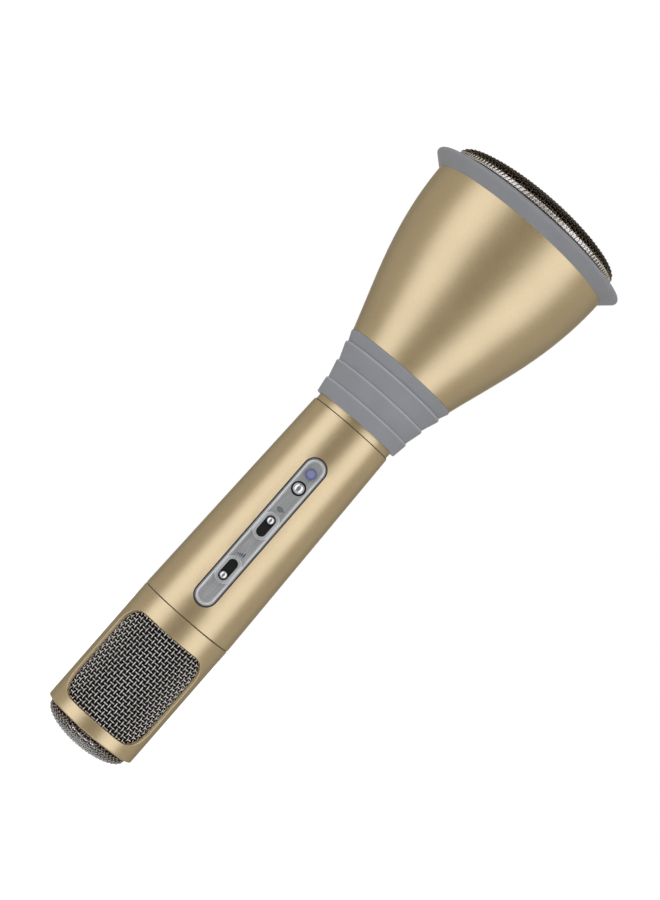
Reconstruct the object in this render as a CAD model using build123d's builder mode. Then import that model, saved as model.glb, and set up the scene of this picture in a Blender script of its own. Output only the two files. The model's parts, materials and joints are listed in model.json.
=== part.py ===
"""Karaoke microphone: pick-up head, tapered handle with a control strip, flared horn with a loudspeaker.

Millimetres. Z is the long axis and points to the loudspeaker; the control strip faces -Y. The origin is
on the axis at the middle of the grip, where a hand or a stand clip holds the handle.
"""
from build123d import *
import math
import os

os.makedirs("parts", exist_ok=True)

# ---------------------------------------------------------------- driving dimensions
# Pick-up head
HEAD_R = 19.0
HEAD_WALL = 1.2
HEAD_LOW_Z = -97.5
WINDOW_LOW_Z, WINDOW_HIGH_Z = -92.5, -53.1
WINDOW_HALF_ANGLE = 66.0
WINDOW_CORNER_R = 9.0
MESH_THICK = 0.8
MESH_GAP = 0.1
DOME_R = 17.1
DOME_APEX_Z = -104.8

# Handle
HANDLE_LOW_Z, HANDLE_HIGH_Z = -45.0, 44.0
HANDLE_LOW_R, HANDLE_HIGH_R = 19.0, 17.0
HANDLE_WALL = 1.8
SEAM_HALF = 0.15

# Control strip, measured in its own plane: across, along (from the strip's middle) and out of the handle
STRIP_Z = -4.9
STRIP_LENGTH, STRIP_WIDTH = 66.0, 8.3
STRIP_PROUD = 0.15
STRIP_FLOOR = -0.8
STRIP_UNDERSIDE = -1.75
STRIP_RIM = 1.0
STRIP_GAP = 0.3
SLOT_WIDTH = 3.8
SLIDER_TRAVEL = 4.9
VOLUME_AT, ECHO_AT = -17.3, 2.9
BUTTON_AT, LENS_AT = 20.3, 26.9
BUTTON_HOLE_R, BUTTON_R = 2.7, 2.2
LENS_HOLE_R = 2.1
KNOB_R = 1.6
BOARD_BACK, BOARD_FRONT = -10.2, -9.0

# Ports in the back of the handle
JACK_Z, JACK_X = 37.4, 0.25
JACK_BORE_R, JACK_BORE_LENGTH = 1.8, 14.0
USB_Z, USB_X = 30.7, -0.25

# Horn and loudspeaker
NECK_R = 16.5
HORN_LOW_Z = 44.15
SLEEVE_LOW_Z, SLEEVE_HIGH_Z = 46.6, 71.5
HORN_WALL = 2.0
BUMPER_LOW_Z, BUMPER_HIGH_Z = 136.0, 142.2
BUMPER_R, BUMPER_CREST_Z = 42.25, 140.9
BUMPER_BORE_R, BUMPER_ROUND = 36.45, 0.9
HORN_MOUTH_R = 37.65
LAND_R = 37.0
HORN_HIGH_Z = 141.5
MOUTH_BORE_R = 35.2
GRILLE_R = 35.9
GRILLE_LOW_Z, GRILLE_SHOULDER_Z, GRILLE_APEX_Z = 142.7, 146.3, 152.3
BAFFLE_Z = 136.0
SPEAKER_PITCH_R = 32.0
FLANGE_R = 34.5
COIL_R = 8.4
CONE_MOUTH_R = 25.6

TAPER = (HANDLE_LOW_R - HANDLE_HIGH_R) / (HANDLE_HIGH_Z - HANDLE_LOW_Z)


def handle_radius(z):
    """Outer radius of the tapered handle at height z."""
    return HANDLE_LOW_R - TAPER * (z - HANDLE_LOW_Z)


# The control strip's plane touches the handle along its front: x across, y along the handle, z outwards.
STRIP = Plane(origin=(0, -handle_radius(STRIP_Z), STRIP_Z), x_dir=(1, 0, 0), z_dir=(0, -1, TAPER))
OUTWARD = Axis(STRIP.origin, STRIP.z_dir)


# ---------------------------------------------------------------- helpers
def profile(*points):
    """Closed outline of (radius, height) points, ready to be turned about the Z axis."""
    with BuildSketch(Plane.XZ) as section:
        with BuildLine():
            Polyline(*points, close=True)
        make_face()
    return section.sketch


def ring(inner_r, outer_r, low_z, high_z):
    """Rectangular section of a plain ring, or of a disc when the inner radius is 0."""
    return profile((inner_r, low_z), (outer_r, low_z), (outer_r, high_z), (inner_r, high_z))


def wire(points, radii, diameter):
    """A round lead along straight runs joined by tangent arcs."""
    with BuildPart() as lead:
        with BuildLine() as route:
            FilletPolyline(*points, radius=radii)
        with BuildSketch(Plane(origin=points[0], z_dir=route.line % 0)):
            Circle(diameter / 2)
        sweep()
    return lead.part


def finish(builder, name):
    """Labels a finished piece and writes its STEP file."""
    builder.part.label = name
    export_step(builder.part, f"parts/{name}.step")


# ---------------------------------------------------------------- pick-up head
HEAD_BORE_R = HEAD_R - HEAD_WALL
HEAD_LIP = 1.4
HEAD_TOP_Z = HANDLE_LOW_Z - SEAM_HALF


def window_cutter(facing):
    """Sector of a ring with rounded corners, which opens one window of the head towards an angle."""
    with BuildPart() as cutter:
        section = ring(HEAD_R - 4, HEAD_R + 2, WINDOW_LOW_Z, WINDOW_HIGH_Z)
        revolve(section, axis=Axis.Z, revolution_arc=2 * WINDOW_HALF_ANGLE)
        radial = edges().filter_by(GeomType.LINE).filter_by(Axis.Z, reverse=True)
        fillet(radial, WINDOW_CORNER_R)
    return cutter.part.rotate(Axis.Z, facing - WINDOW_HALF_ANGLE)


with BuildPart() as mic_head_shell:
    revolve(
        profile(
            (DOME_R + MESH_GAP, HEAD_LOW_Z),
            (HEAD_R, HEAD_LOW_Z),
            (HEAD_R, HEAD_TOP_Z),
            (HEAD_BORE_R, HEAD_TOP_Z),
            (HEAD_BORE_R, HEAD_LOW_Z + HEAD_LIP),
            (DOME_R + MESH_GAP, HEAD_LOW_Z + HEAD_LIP),
        ),
        axis=Axis.Z,
    )
    fillet(edges().group_by(Axis.Z)[0].sort_by(SortBy.RADIUS)[-1], 0.6)
    fillet(edges().group_by(Axis.Z)[-1].sort_by(SortBy.RADIUS)[-1], 0.15)
    whole = edges()
    add(window_cutter(-90), mode=Mode.SUBTRACT)
    add(window_cutter(90), mode=Mode.SUBTRACT)
    # the rims of the windows are rounded over on the outside
    rims = [e for e in edges() - whole if (e @ 0.5).X ** 2 + (e @ 0.5).Y ** 2 > (HEAD_R - 0.1) ** 2]
    fillet([e for e in rims if WINDOW_LOW_Z - 0.1 < e.center().Z < WINDOW_HIGH_Z + 0.1], 0.3)
finish(mic_head_shell, "mic_head_shell")

# Woven wire stands as a thin sheet of its own thickness.
SIDE_MESH_LOW_Z, SIDE_MESH_HIGH_Z = -95.2, -52.2
with BuildPart() as side_mesh:
    outer_r = HEAD_BORE_R - MESH_GAP
    revolve(ring(outer_r - MESH_THICK, outer_r, SIDE_MESH_LOW_Z, SIDE_MESH_HIGH_Z), axis=Axis.Z)
finish(side_mesh, "side_mesh")

with BuildPart() as end_mesh:
    with BuildSketch(Plane.XZ):
        with BuildLine():
            crown = Spline(
                (DOME_R, HEAD_LOW_Z - 0.9),
                (0.73 * DOME_R, DOME_APEX_Z + 1.9),
                (0, DOME_APEX_Z),
                tangents=[(0, -1), (-1, 0)],
            )
            Polyline(crown @ 0, (DOME_R, HEAD_LOW_Z + HEAD_LIP), (0, HEAD_LOW_Z + HEAD_LIP), crown @ 1)
        make_face()
    revolve(axis=Axis.Z)
    offset(amount=-MESH_THICK, openings=faces().sort_by(Axis.Z)[-1])
    collar_low = HEAD_LOW_Z + HEAD_LIP
    revolve(ring(DOME_R - MESH_THICK, HEAD_BORE_R - MESH_GAP, collar_low, collar_low + 0.7), axis=Axis.Z)
finish(end_mesh, "end_mesh")

FOAM_R, FOAM_BORE_R = 15.8, 12.6
FOAM_LOW_Z, FOAM_FLOOR_Z, FOAM_HIGH_Z = -99.5, -94.0, -53.0
FOAM_BEVEL = 2.5
with BuildPart() as head_foam:
    revolve(
        profile(
            (0, FOAM_LOW_Z),
            (FOAM_R - FOAM_BEVEL, FOAM_LOW_Z),
            (FOAM_R, FOAM_LOW_Z + FOAM_BEVEL),
            (FOAM_R, FOAM_HIGH_Z),
            (FOAM_BORE_R, FOAM_HIGH_Z),
            (FOAM_BORE_R, FOAM_FLOOR_Z),
            (0, FOAM_FLOOR_Z),
        ),
        axis=Axis.Z,
    )
finish(head_foam, "head_foam")

CAPSULE_R = 4.85
CAPSULE_LOW_Z, CAPSULE_HIGH_Z = -92.0, -85.5
with BuildPart() as mic_capsule:
    revolve(ring(0, CAPSULE_R, CAPSULE_LOW_Z, CAPSULE_HIGH_Z), axis=Axis.Z)
    fillet(edges().group_by(Axis.Z)[0], 0.4)
    with BuildSketch(Plane.XY.offset(CAPSULE_LOW_Z)):
        Circle(0.6)
        with PolarLocations(2.2, 6):
            Circle(0.4)
    extrude(amount=0.4, mode=Mode.SUBTRACT)
finish(mic_capsule, "mic_capsule")

HOLDER_R, HOLDER_LEAD_R = 6.8, 1.2
HOLDER_LOW_Z, HOLDER_HIGH_Z = -91.2, -83.5
with BuildPart() as capsule_holder:
    revolve(
        profile(
            (CAPSULE_R, HOLDER_LOW_Z),
            (HOLDER_R, HOLDER_LOW_Z),
            (HOLDER_R, HOLDER_HIGH_Z),
            (HOLDER_LEAD_R, HOLDER_HIGH_Z),
            (HOLDER_LEAD_R, CAPSULE_HIGH_Z),
            (CAPSULE_R, CAPSULE_HIGH_Z),
        ),
        axis=Axis.Z,
    )
    fillet(edges().group_by(Axis.Z)[0].sort_by(SortBy.RADIUS)[-1], 0.5)
finish(capsule_holder, "capsule_holder")

# Three ribs carry the capsule's holder from a foot on the collar's web.
CAGE_R, CAGE_LOW_Z, CAGE_CUP_Z, CAGE_FOOT = 8.6, -89.5, -84.5, 1.8
COLLAR_WEB_LOW_Z, COLLAR_WEB_HIGH_Z = -47.0, HANDLE_LOW_Z - SEAM_HALF
with BuildPart() as capsule_cage:
    revolve(ring(HOLDER_R, CAGE_R, CAGE_LOW_Z, CAGE_CUP_Z), axis=Axis.Z)
    revolve(ring(HOLDER_R, CAGE_R, COLLAR_WEB_LOW_Z - CAGE_FOOT, COLLAR_WEB_LOW_Z), axis=Axis.Z)
    with BuildSketch(Plane.XY.offset(CAGE_CUP_Z - 0.1)):
        with PolarLocations((HOLDER_R + CAGE_R) / 2, 3, start_angle=90):
            Rectangle(CAGE_R - HOLDER_R - 0.1, 3.0)
    extrude(amount=COLLAR_WEB_LOW_Z - CAGE_FOOT - CAGE_CUP_Z + 0.2)
finish(capsule_cage, "capsule_cage")

# ---------------------------------------------------------------- collar between head and handle
# Its skirt holds the head, its flange shows as the seam, and its spigot fits the handle.
SKIRT_R, SKIRT_BORE_R, SKIRT_LOW_Z = 17.4, 15.8, -52.0
COLLAR_FLANGE_R, COLLAR_SPIGOT_R, COLLAR_SPIGOT_HIGH_Z = 18.6, 16.9, -41.0
COLLAR_BORE_R = 15.6
LEAD_HOLE = (-3.5, -11.1)
FRAME_SCREWS = ((10.6, -3.0), (-10.6, -3.0))
SCREW_R, SCREW_HEAD_R = 1.0, 1.8
with BuildPart() as head_collar:
    revolve(ring(SKIRT_BORE_R, SKIRT_R, SKIRT_LOW_Z, COLLAR_WEB_HIGH_Z), axis=Axis.Z)
    revolve(ring(0, SKIRT_BORE_R + 0.1, COLLAR_WEB_LOW_Z, COLLAR_WEB_HIGH_Z), axis=Axis.Z)
    revolve(ring(COLLAR_BORE_R, COLLAR_FLANGE_R, COLLAR_WEB_HIGH_Z, HANDLE_LOW_Z + SEAM_HALF), axis=Axis.Z)
    revolve(ring(COLLAR_BORE_R, COLLAR_SPIGOT_R, HANDLE_LOW_Z + SEAM_HALF, COLLAR_SPIGOT_HIGH_Z), axis=Axis.Z)
    with BuildSketch(Plane.XY.offset(COLLAR_WEB_LOW_Z)):
        with Locations(LEAD_HOLE):
            Circle(1.6)
        with Locations(*FRAME_SCREWS):
            Circle(SCREW_R)
    extrude(amount=2.0, mode=Mode.SUBTRACT)
finish(head_collar, "head_collar")

# ---------------------------------------------------------------- handle
CUT_LENGTH, CUT_WIDTH = STRIP_LENGTH + 2 * STRIP_GAP, STRIP_WIDTH + 2 * STRIP_GAP
LEDGE = 0.9
JACK_HOLE_R = 2.5
USB_HOLE_LENGTH, USB_HOLE_WIDTH = 8.4, 3.4
with BuildPart() as handle_tube:
    revolve(
        profile(
            (HANDLE_LOW_R - HANDLE_WALL, HANDLE_LOW_Z + SEAM_HALF),
            (HANDLE_LOW_R, HANDLE_LOW_Z + SEAM_HALF),
            (HANDLE_HIGH_R, HANDLE_HIGH_Z - SEAM_HALF),
            (HANDLE_HIGH_R - HANDLE_WALL, HANDLE_HIGH_Z - SEAM_HALF),
        ),
        axis=Axis.Z,
    )
    fillet(edges().group_by(Axis.Z)[0].sort_by(SortBy.RADIUS)[-1], 0.15)
    fillet(edges().group_by(Axis.Z)[-1].sort_by(SortBy.RADIUS)[-1], 0.15)
    # the control strip sits on a ledge, and the controls reach in through the opening inside it
    with BuildSketch(STRIP.offset(STRIP_UNDERSIDE)):
        SlotOverall(CUT_LENGTH, CUT_WIDTH, rotation=90)
    extrude(amount=5, mode=Mode.SUBTRACT)
    with BuildSketch(STRIP.offset(-4)):
        SlotOverall(CUT_LENGTH - 2 * LEDGE, CUT_WIDTH - 2 * LEDGE, rotation=90)
    extrude(amount=8, mode=Mode.SUBTRACT)
    with BuildSketch(Plane.XZ.offset(-12)):
        with Locations((JACK_X, JACK_Z)):
            Circle(JACK_HOLE_R)
        with Locations((USB_X, USB_Z)):
            SlotOverall(USB_HOLE_LENGTH, USB_HOLE_WIDTH, rotation=90)
    extrude(amount=-8, mode=Mode.SUBTRACT)
finish(handle_tube, "handle_tube")

# ---------------------------------------------------------------- control strip and its controls
SLOT_LENGTH = SLIDER_TRAVEL + SLOT_WIDTH
COLLAR_LENGTH, COLLAR_WIDTH = SLOT_LENGTH + 2.4, STRIP_WIDTH - 2 * STRIP_RIM + 0.4


def crest_edges(panel):
    """Edges round the top of the strip."""
    crest = [e for e in panel.edges() if STRIP.to_local_coords(e @ 0.5).Z > -0.45]
    return [e for e in crest if e.geom_type != GeomType.LINE]


def on_border(edge):
    """True for an edge of the strip's own outline."""
    middle = STRIP.to_local_coords(edge @ 0.5)
    return abs(middle.X) > STRIP_WIDTH / 2 - 0.02 or abs(middle.Y) > STRIP_LENGTH / 2 - 0.02


with BuildPart() as control_panel:
    with BuildSketch(STRIP.offset(STRIP_UNDERSIDE)):
        SlotOverall(STRIP_LENGTH, STRIP_WIDTH, rotation=90)
    extrude(amount=4)
    # its top follows the handle's own cone, a little proud of it
    revolve(
        profile(
            (0, HANDLE_LOW_Z),
            (HANDLE_LOW_R + STRIP_PROUD, HANDLE_LOW_Z),
            (HANDLE_HIGH_R + STRIP_PROUD, HANDLE_HIGH_Z),
            (0, HANDLE_HIGH_Z),
        ),
        axis=Axis.Z,
        mode=Mode.INTERSECT,
    )
    # the dished floor stops short of a raised collar round each opening
    with BuildSketch(STRIP.offset(STRIP_FLOOR)):
        SlotOverall(STRIP_LENGTH - 2 * STRIP_RIM, STRIP_WIDTH - 2 * STRIP_RIM, rotation=90)
        with Locations((0, VOLUME_AT), (0, ECHO_AT)):
            SlotOverall(COLLAR_LENGTH, COLLAR_WIDTH, rotation=90, mode=Mode.SUBTRACT)
    extrude(amount=4, mode=Mode.SUBTRACT)
    # its border is rounded over on the outside, then the dished floor's edges on the inside
    fillet([e for e in crest_edges(control_panel) if on_border(e)], 0.3)
    fillet([e for e in crest_edges(control_panel) if not on_border(e)], 0.25)
    with BuildSketch(STRIP.offset(STRIP_UNDERSIDE)):
        with Locations((0, VOLUME_AT), (0, ECHO_AT)):
            SlotOverall(SLOT_LENGTH, SLOT_WIDTH, rotation=90)
        with Locations((0, BUTTON_AT)):
            Circle(BUTTON_HOLE_R)
        with Locations((0, LENS_AT)):
            Circle(LENS_HOLE_R)
    extrude(amount=5, mode=Mode.SUBTRACT)
finish(control_panel, "control_panel")

CARRIER_TOP, CARRIER_THICK = -2.0, 0.6
CARRIER_LENGTH, CARRIER_WIDTH = 14.8, 5.6
POT_TOP, POT_LENGTH, POT_WIDTH = -6.0, 16.0, 5.6
LEVER_END = -7.8
KNOB_UNDERSIDE, KNOB_HEIGHT, KNOB_ROUND = -1.6, 2.2, 1.5
POST_R = 0.8


def slider_knob(along):
    """Bright dome that a thumb pushes along the strip, on a socket for its carrier's post."""
    with BuildPart() as knob:
        with BuildSketch(STRIP.offset(KNOB_UNDERSIDE)):
            with Locations((0, along)):
                Circle(KNOB_R)
        extrude(amount=KNOB_HEIGHT)
        fillet(edges().sort_by(OUTWARD)[-1], KNOB_ROUND)
        with BuildSketch(STRIP.offset(KNOB_UNDERSIDE)):
            with Locations((0, along)):
                Circle(POST_R)
        extrude(amount=1.2, mode=Mode.SUBTRACT)
    return knob


def slider_carrier(along):
    """Flat carrier that shuts the slot from inside, with the post for its knob and the lever into its fader."""
    with BuildPart() as carrier:
        with BuildSketch(STRIP.offset(CARRIER_TOP - CARRIER_THICK)):
            with Locations((0, along)):
                Rectangle(CARRIER_WIDTH, CARRIER_LENGTH)
        extrude(amount=CARRIER_THICK)
        with BuildSketch(STRIP.offset(CARRIER_TOP - 0.1)):
            with Locations((0, along)):
                Circle(POST_R)
        extrude(amount=1.6)
        with BuildSketch(STRIP.offset(LEVER_END)):
            with Locations((0, along)):
                Rectangle(1.0, 1.6)
        extrude(amount=CARRIER_TOP - CARRIER_THICK - LEVER_END + 0.1)
    return carrier


def slide_pot(middle):
    """Slide potentiometer: a closed case with a channel along its top for the lever."""
    with BuildPart() as pot:
        with BuildSketch(STRIP.offset(BOARD_FRONT)):
            with Locations((0, middle)):
                Rectangle(POT_WIDTH, POT_LENGTH)
        extrude(amount=POT_TOP - BOARD_FRONT)
        with BuildSketch(STRIP.offset(LEVER_END - 0.4)):
            with Locations((0, middle)):
                Rectangle(1.8, SLIDER_TRAVEL + 2.6)
        extrude(amount=4, mode=Mode.SUBTRACT)
    return pot


# At rest the volume knob is at the foot of its slot and the echo knob at the head of its own.
VOLUME_REST = VOLUME_AT - SLIDER_TRAVEL / 2
ECHO_REST = ECHO_AT + SLIDER_TRAVEL / 2
for name, middle, rest in (("volume", VOLUME_AT, VOLUME_REST), ("echo", ECHO_AT, ECHO_REST)):
    finish(slider_knob(rest), f"{name}_knob")
    finish(slider_carrier(rest), f"{name}_carrier")
    finish(slide_pot(middle), f"{name}_fader")

BUTTON_TOP, BUTTON_ROUND = 1.0, 2.0
BUTTON_FLANGE_TOP, BUTTON_FLANGE_THICK, BUTTON_FLANGE_R = -2.1, 0.6, 3.1
BUTTON_STEM_R, PLUNGER_R = 1.2, 1.0
STEM_END = -4.2
SWITCH_TOP = -5.4
with BuildPart() as power_button:
    with BuildSketch(STRIP.offset(BUTTON_FLANGE_TOP - BUTTON_FLANGE_THICK)):
        with Locations((0, BUTTON_AT)):
            Circle(BUTTON_R)
    extrude(amount=BUTTON_TOP - BUTTON_FLANGE_TOP + BUTTON_FLANGE_THICK)
    fillet(edges().sort_by(OUTWARD)[-1], BUTTON_ROUND)
    with BuildSketch(STRIP.offset(BUTTON_FLANGE_TOP - BUTTON_FLANGE_THICK)):
        with Locations((0, BUTTON_AT)):
            Circle(BUTTON_FLANGE_R)
    extrude(amount=BUTTON_FLANGE_THICK)
    with BuildSketch(STRIP.offset(STEM_END)):
        with Locations((0, BUTTON_AT)):
            Circle(BUTTON_STEM_R)
    extrude(amount=BUTTON_FLANGE_TOP - STEM_END)
finish(power_button, "power_button")

PLUNGER_LENGTH = 1.8
with BuildPart() as switch_plunger:
    with BuildSketch(STRIP.offset(STEM_END - PLUNGER_LENGTH)):
        with Locations((0, BUTTON_AT)):
            Circle(PLUNGER_R)
    extrude(amount=PLUNGER_LENGTH)
finish(switch_plunger, "switch_plunger")

with BuildPart() as tact_switch:
    with BuildSketch(STRIP.offset(BOARD_FRONT)):
        with Locations((0, BUTTON_AT)):
            Rectangle(5.0, 5.0)
    extrude(amount=SWITCH_TOP - BOARD_FRONT)
    with BuildSketch(STRIP.offset(STEM_END - PLUNGER_LENGTH - 1.0)):
        with Locations((0, BUTTON_AT)):
            Circle(PLUNGER_R + 0.3)
    extrude(amount=3, mode=Mode.SUBTRACT)
finish(tact_switch, "tact_switch")

LED_TOP = -8.1
LENS_PROUD, LENS_ROUND, LIGHT_PIPE_R = 0.35, 0.4, 1.4
with BuildPart() as status_lens:
    with BuildSketch(STRIP.offset(STRIP_UNDERSIDE)):
        with Locations((0, LENS_AT)):
            Circle(LENS_HOLE_R)
    extrude(amount=LENS_PROUD - STRIP_UNDERSIDE)
    fillet(edges().sort_by(OUTWARD)[-1], LENS_ROUND)
    with BuildSketch(STRIP.offset(LED_TOP)):
        with Locations((0, LENS_AT)):
            Circle(LIGHT_PIPE_R)
    extrude(amount=STRIP_UNDERSIDE - LED_TOP)
finish(status_lens, "status_lens")

with BuildPart() as status_led:
    with BuildSketch(STRIP.offset(BOARD_FRONT)):
        with Locations((0, LENS_AT)):
            Rectangle(3.0, 2.6)
    extrude(amount=LED_TOP - BOARD_FRONT)
finish(status_led, "status_led")

# ---------------------------------------------------------------- main board
BOARD_WIDTH, BOARD_LOW, BOARD_HIGH = 21.0, -38.0, 43.0
BOARD_SCREWS = [(x, along) for x in (-8.2, 8.2) for along in (-34.0, 38.5)]
with BuildPart() as main_board:
    with BuildSketch(STRIP.offset(BOARD_BACK)):
        with Locations((0, (BOARD_LOW + BOARD_HIGH) / 2)):
            RectangleRounded(BOARD_WIDTH, BOARD_HIGH - BOARD_LOW, 1.5)
        with Locations(*BOARD_SCREWS):
            Circle(SCREW_R, mode=Mode.SUBTRACT)
    extrude(amount=BOARD_FRONT - BOARD_BACK)
finish(main_board, "main_board")

with BuildPart() as radio_module:
    with BuildSketch(STRIP.offset(BOARD_FRONT)):
        with Locations((6.6, -12.0)):
            Rectangle(6.4, 13.0)
    extrude(amount=0.8)
    with BuildSketch(STRIP.offset(BOARD_FRONT + 0.8)):
        with Locations((6.6, -13.0)):
            Rectangle(5.4, 9.6)
    extrude(amount=1.4)
finish(radio_module, "radio_module")

with BuildPart() as amplifier_chip:
    with BuildSketch(STRIP.offset(BOARD_FRONT)):
        with Locations((-6.6, 10.0)):
            Rectangle(5.0, 5.0)
    extrude(amount=1.2)
    with BuildSketch(STRIP.offset(BOARD_FRONT)):
        with Locations((-6.6, 10.0)):
            with GridLocations(0, 1.2, 1, 4):
                Rectangle(6.6, 0.5)
    extrude(amount=0.3)
finish(amplifier_chip, "amplifier_chip")

with BuildPart() as capacitors:
    with BuildSketch(STRIP.offset(BOARD_FRONT)):
        with Locations((-6.6, -6.0), (-6.6, -12.5), (6.8, 10.0)):
            Circle(2.2)
    extrude(amount=3.4)
finish(capacitors, "capacitors")

PLUG_LOW = -34.5
PLUG_HEIGHT = 3.4
with BuildPart() as mic_connector:
    with BuildSketch(STRIP.offset(BOARD_FRONT)):
        with Locations((LEAD_HOLE[0], PLUG_LOW + 2.5)):
            Rectangle(5.0, 5.0)
    extrude(amount=PLUG_HEIGHT)
finish(mic_connector, "mic_connector")

# ---------------------------------------------------------------- inner frame and cell
FRAME_LOW_Z, FRAME_HIGH_Z = HANDLE_LOW_Z - SEAM_HALF, HORN_LOW_Z
PLATE_FRONT_Y, PLATE_BACK_Y = -6.8, -5.3
PLATE_WIDTH = 20.0
CELL_Y, CELL_R = 4.5, 9.2
CELL_LOW_Z, CELL_HIGH_Z = -40.3, 24.7
TROUGH_R = 10.5
PORT_FACE_X = -2.25
PORT_BOARD_THICK = 1.0
PORT_LOW_Z, PORT_HIGH_Z = 26.85, 40.2
SPIGOT_BORE_R = 13.5
RED_LEAD_Z, BLACK_LEAD_Z = 26.2, -41.9
with BuildPart() as inner_frame:
    with BuildSketch(Plane.XY.offset(FRAME_LOW_Z)):
        with Locations((0, (PLATE_FRONT_Y + PLATE_BACK_Y) / 2)):
            Rectangle(PLATE_WIDTH, PLATE_BACK_Y - PLATE_FRONT_Y)
    extrude(amount=FRAME_HIGH_Z - FRAME_LOW_Z)
    # end plates, cut off in front of the plate
    for low, thick, radius in ((FRAME_LOW_Z, 2.0, 15.3), (FRAME_HIGH_Z - 2.0, 2.0, SPIGOT_BORE_R - 0.2)):
        with BuildSketch(Plane.XY.offset(low)):
            Circle(radius)
            with Locations((0, PLATE_FRONT_Y)):
                Rectangle(60, 40, align=(Align.CENTER, Align.MIN), mode=Mode.INTERSECT)
        extrude(amount=thick)
    # half-round trough for the cell, with a lip over its far end
    with BuildSketch(Plane.XY.offset(FRAME_LOW_Z + 2.0)):
        with Locations((0, CELL_Y)):
            Circle(TROUGH_R)
            Circle(CELL_R + 0.05, mode=Mode.SUBTRACT)
            Rectangle(60, 40, align=(Align.CENTER, Align.MAX), mode=Mode.INTERSECT)
    extrude(amount=CELL_HIGH_Z - 0.8 - FRAME_LOW_Z - 2.0)
    with BuildSketch(Plane.XY.offset(CELL_HIGH_Z - 0.8)):
        with Locations((0, CELL_Y)):
            Circle(TROUGH_R)
            Circle(7.6, mode=Mode.SUBTRACT)
        Rectangle(60, 40, align=(Align.CENTER, Align.MAX), mode=Mode.INTERSECT)
    extrude(amount=1.4)
    # screw bosses at both ends
    for low, tall in ((FRAME_LOW_Z, 9.0), (FRAME_HIGH_Z - 9.0, 9.0)):
        with BuildSketch(Plane.XY.offset(low)):
            with Locations(*FRAME_SCREWS):
                Circle(2.2)
        extrude(amount=tall)
    for low in (FRAME_LOW_Z, FRAME_HIGH_Z - 8.0):
        with BuildSketch(Plane.XY.offset(low)):
            with Locations(*FRAME_SCREWS):
                Circle(SCREW_R)
        extrude(amount=8.0, mode=Mode.SUBTRACT)
    # wall that holds the port board
    with BuildSketch(Plane.XY.offset(PORT_LOW_Z)):
        with Locations((PORT_FACE_X - PORT_BOARD_THICK, PLATE_BACK_Y - 0.1)):
            Rectangle(1.6, 16.0, align=(Align.MAX, Align.MIN))
    extrude(amount=PORT_HIGH_Z - PORT_LOW_Z)
    # pillars up to the main board
    with BuildSketch(STRIP.offset(BOARD_BACK)):
        with Locations(*BOARD_SCREWS):
            Circle(1.7)
    extrude(amount=-2.3)
    with BuildSketch(STRIP.offset(BOARD_BACK - 4)):
        with Locations(*BOARD_SCREWS):
            Circle(SCREW_R)
    extrude(amount=5, mode=Mode.SUBTRACT)
    # openings for the cell leads and the port header
    with BuildSketch(Plane.XZ.offset(4)):
        with Locations((0, RED_LEAD_Z), (0, BLACK_LEAD_Z)):
            Circle(1.0)
        with Locations((PORT_FACE_X + 1.3, 33.5)):
            Rectangle(3.2, 8.6)
    extrude(amount=4, mode=Mode.SUBTRACT)
finish(inner_frame, "inner_frame")

with BuildPart() as battery_cell:
    with BuildSketch(Plane.XY.offset(CELL_LOW_Z)):
        with Locations((0, CELL_Y)):
            Circle(CELL_R)
    extrude(amount=CELL_HIGH_Z - 0.8 - CELL_LOW_Z)
    fillet(edges().filter_by(GeomType.CIRCLE), 0.6)
    with BuildSketch(Plane.XY.offset(CELL_HIGH_Z - 0.8)):
        with Locations((0, CELL_Y)):
            Circle(3.0)
    extrude(amount=0.8)
finish(battery_cell, "battery_cell")

# ---------------------------------------------------------------- port board, sockets
with BuildPart() as port_board:
    with BuildSketch(Plane.XY.offset(PORT_LOW_Z)):
        with Locations((PORT_FACE_X, -1.0)):
            Rectangle(PORT_BOARD_THICK, 14.6, align=(Align.MAX, Align.MIN))
    extrude(amount=PORT_HIGH_Z - PORT_LOW_Z)
finish(port_board, "port_board")

with BuildPart() as port_header:
    with BuildSketch(STRIP.offset(BOARD_BACK)):
        with Locations((PORT_FACE_X, 38.4)):
            Rectangle(2.6, 8.0, align=(Align.MIN, Align.CENTER))
    extrude(amount=-8.0)
finish(port_header, "port_header")

JACK_MOUTH_Y = 16.9
with BuildPart() as audio_jack:
    with BuildSketch(Plane.XZ.offset(-2.0)):
        with Locations((JACK_X, JACK_Z)):
            Rectangle(5.0, 5.6)
    extrude(amount=-12.6)
    with BuildSketch(Plane.XZ.offset(-JACK_MOUTH_Y)):
        with Locations((JACK_X, JACK_Z)):
            Circle(2.4)
    extrude(amount=3)
    with BuildSketch(Plane.XZ.offset(-JACK_MOUTH_Y)):
        with Locations((JACK_X, JACK_Z)):
            Circle(JACK_BORE_R)
    extrude(amount=JACK_BORE_LENGTH, mode=Mode.SUBTRACT)
finish(audio_jack, "audio_jack")

USB_MOUTH_Y = 17.1
with BuildPart() as usb_socket:
    with BuildSketch(Plane.XZ.offset(-USB_MOUTH_Y)):
        with Locations((USB_X, USB_Z)):
            RectangleRounded(2.7, 7.6, 0.9)
            RectangleRounded(2.0, 6.9, 0.6, mode=Mode.SUBTRACT)
    extrude(amount=6.0)
    with BuildSketch(Plane.XZ.offset(-USB_MOUTH_Y + 5.0)):
        with Locations((USB_X, USB_Z)):
            RectangleRounded(2.7, 7.6, 0.9)
    extrude(amount=1.2)
    with BuildSketch(Plane.XZ.offset(-USB_MOUTH_Y + 0.8)):
        with Locations((USB_X + 0.3, USB_Z)):
            Rectangle(0.6, 4.2)
    extrude(amount=4.4)
    with BuildSketch(Plane.XZ.offset(-USB_MOUTH_Y + 4.2)):
        with Locations((PORT_FACE_X, USB_Z)):
            Rectangle(USB_X - 1.0 - PORT_FACE_X, 5.0, align=(Align.MIN, Align.CENTER))
    extrude(amount=2.0)
finish(usb_socket, "usb_socket")

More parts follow.
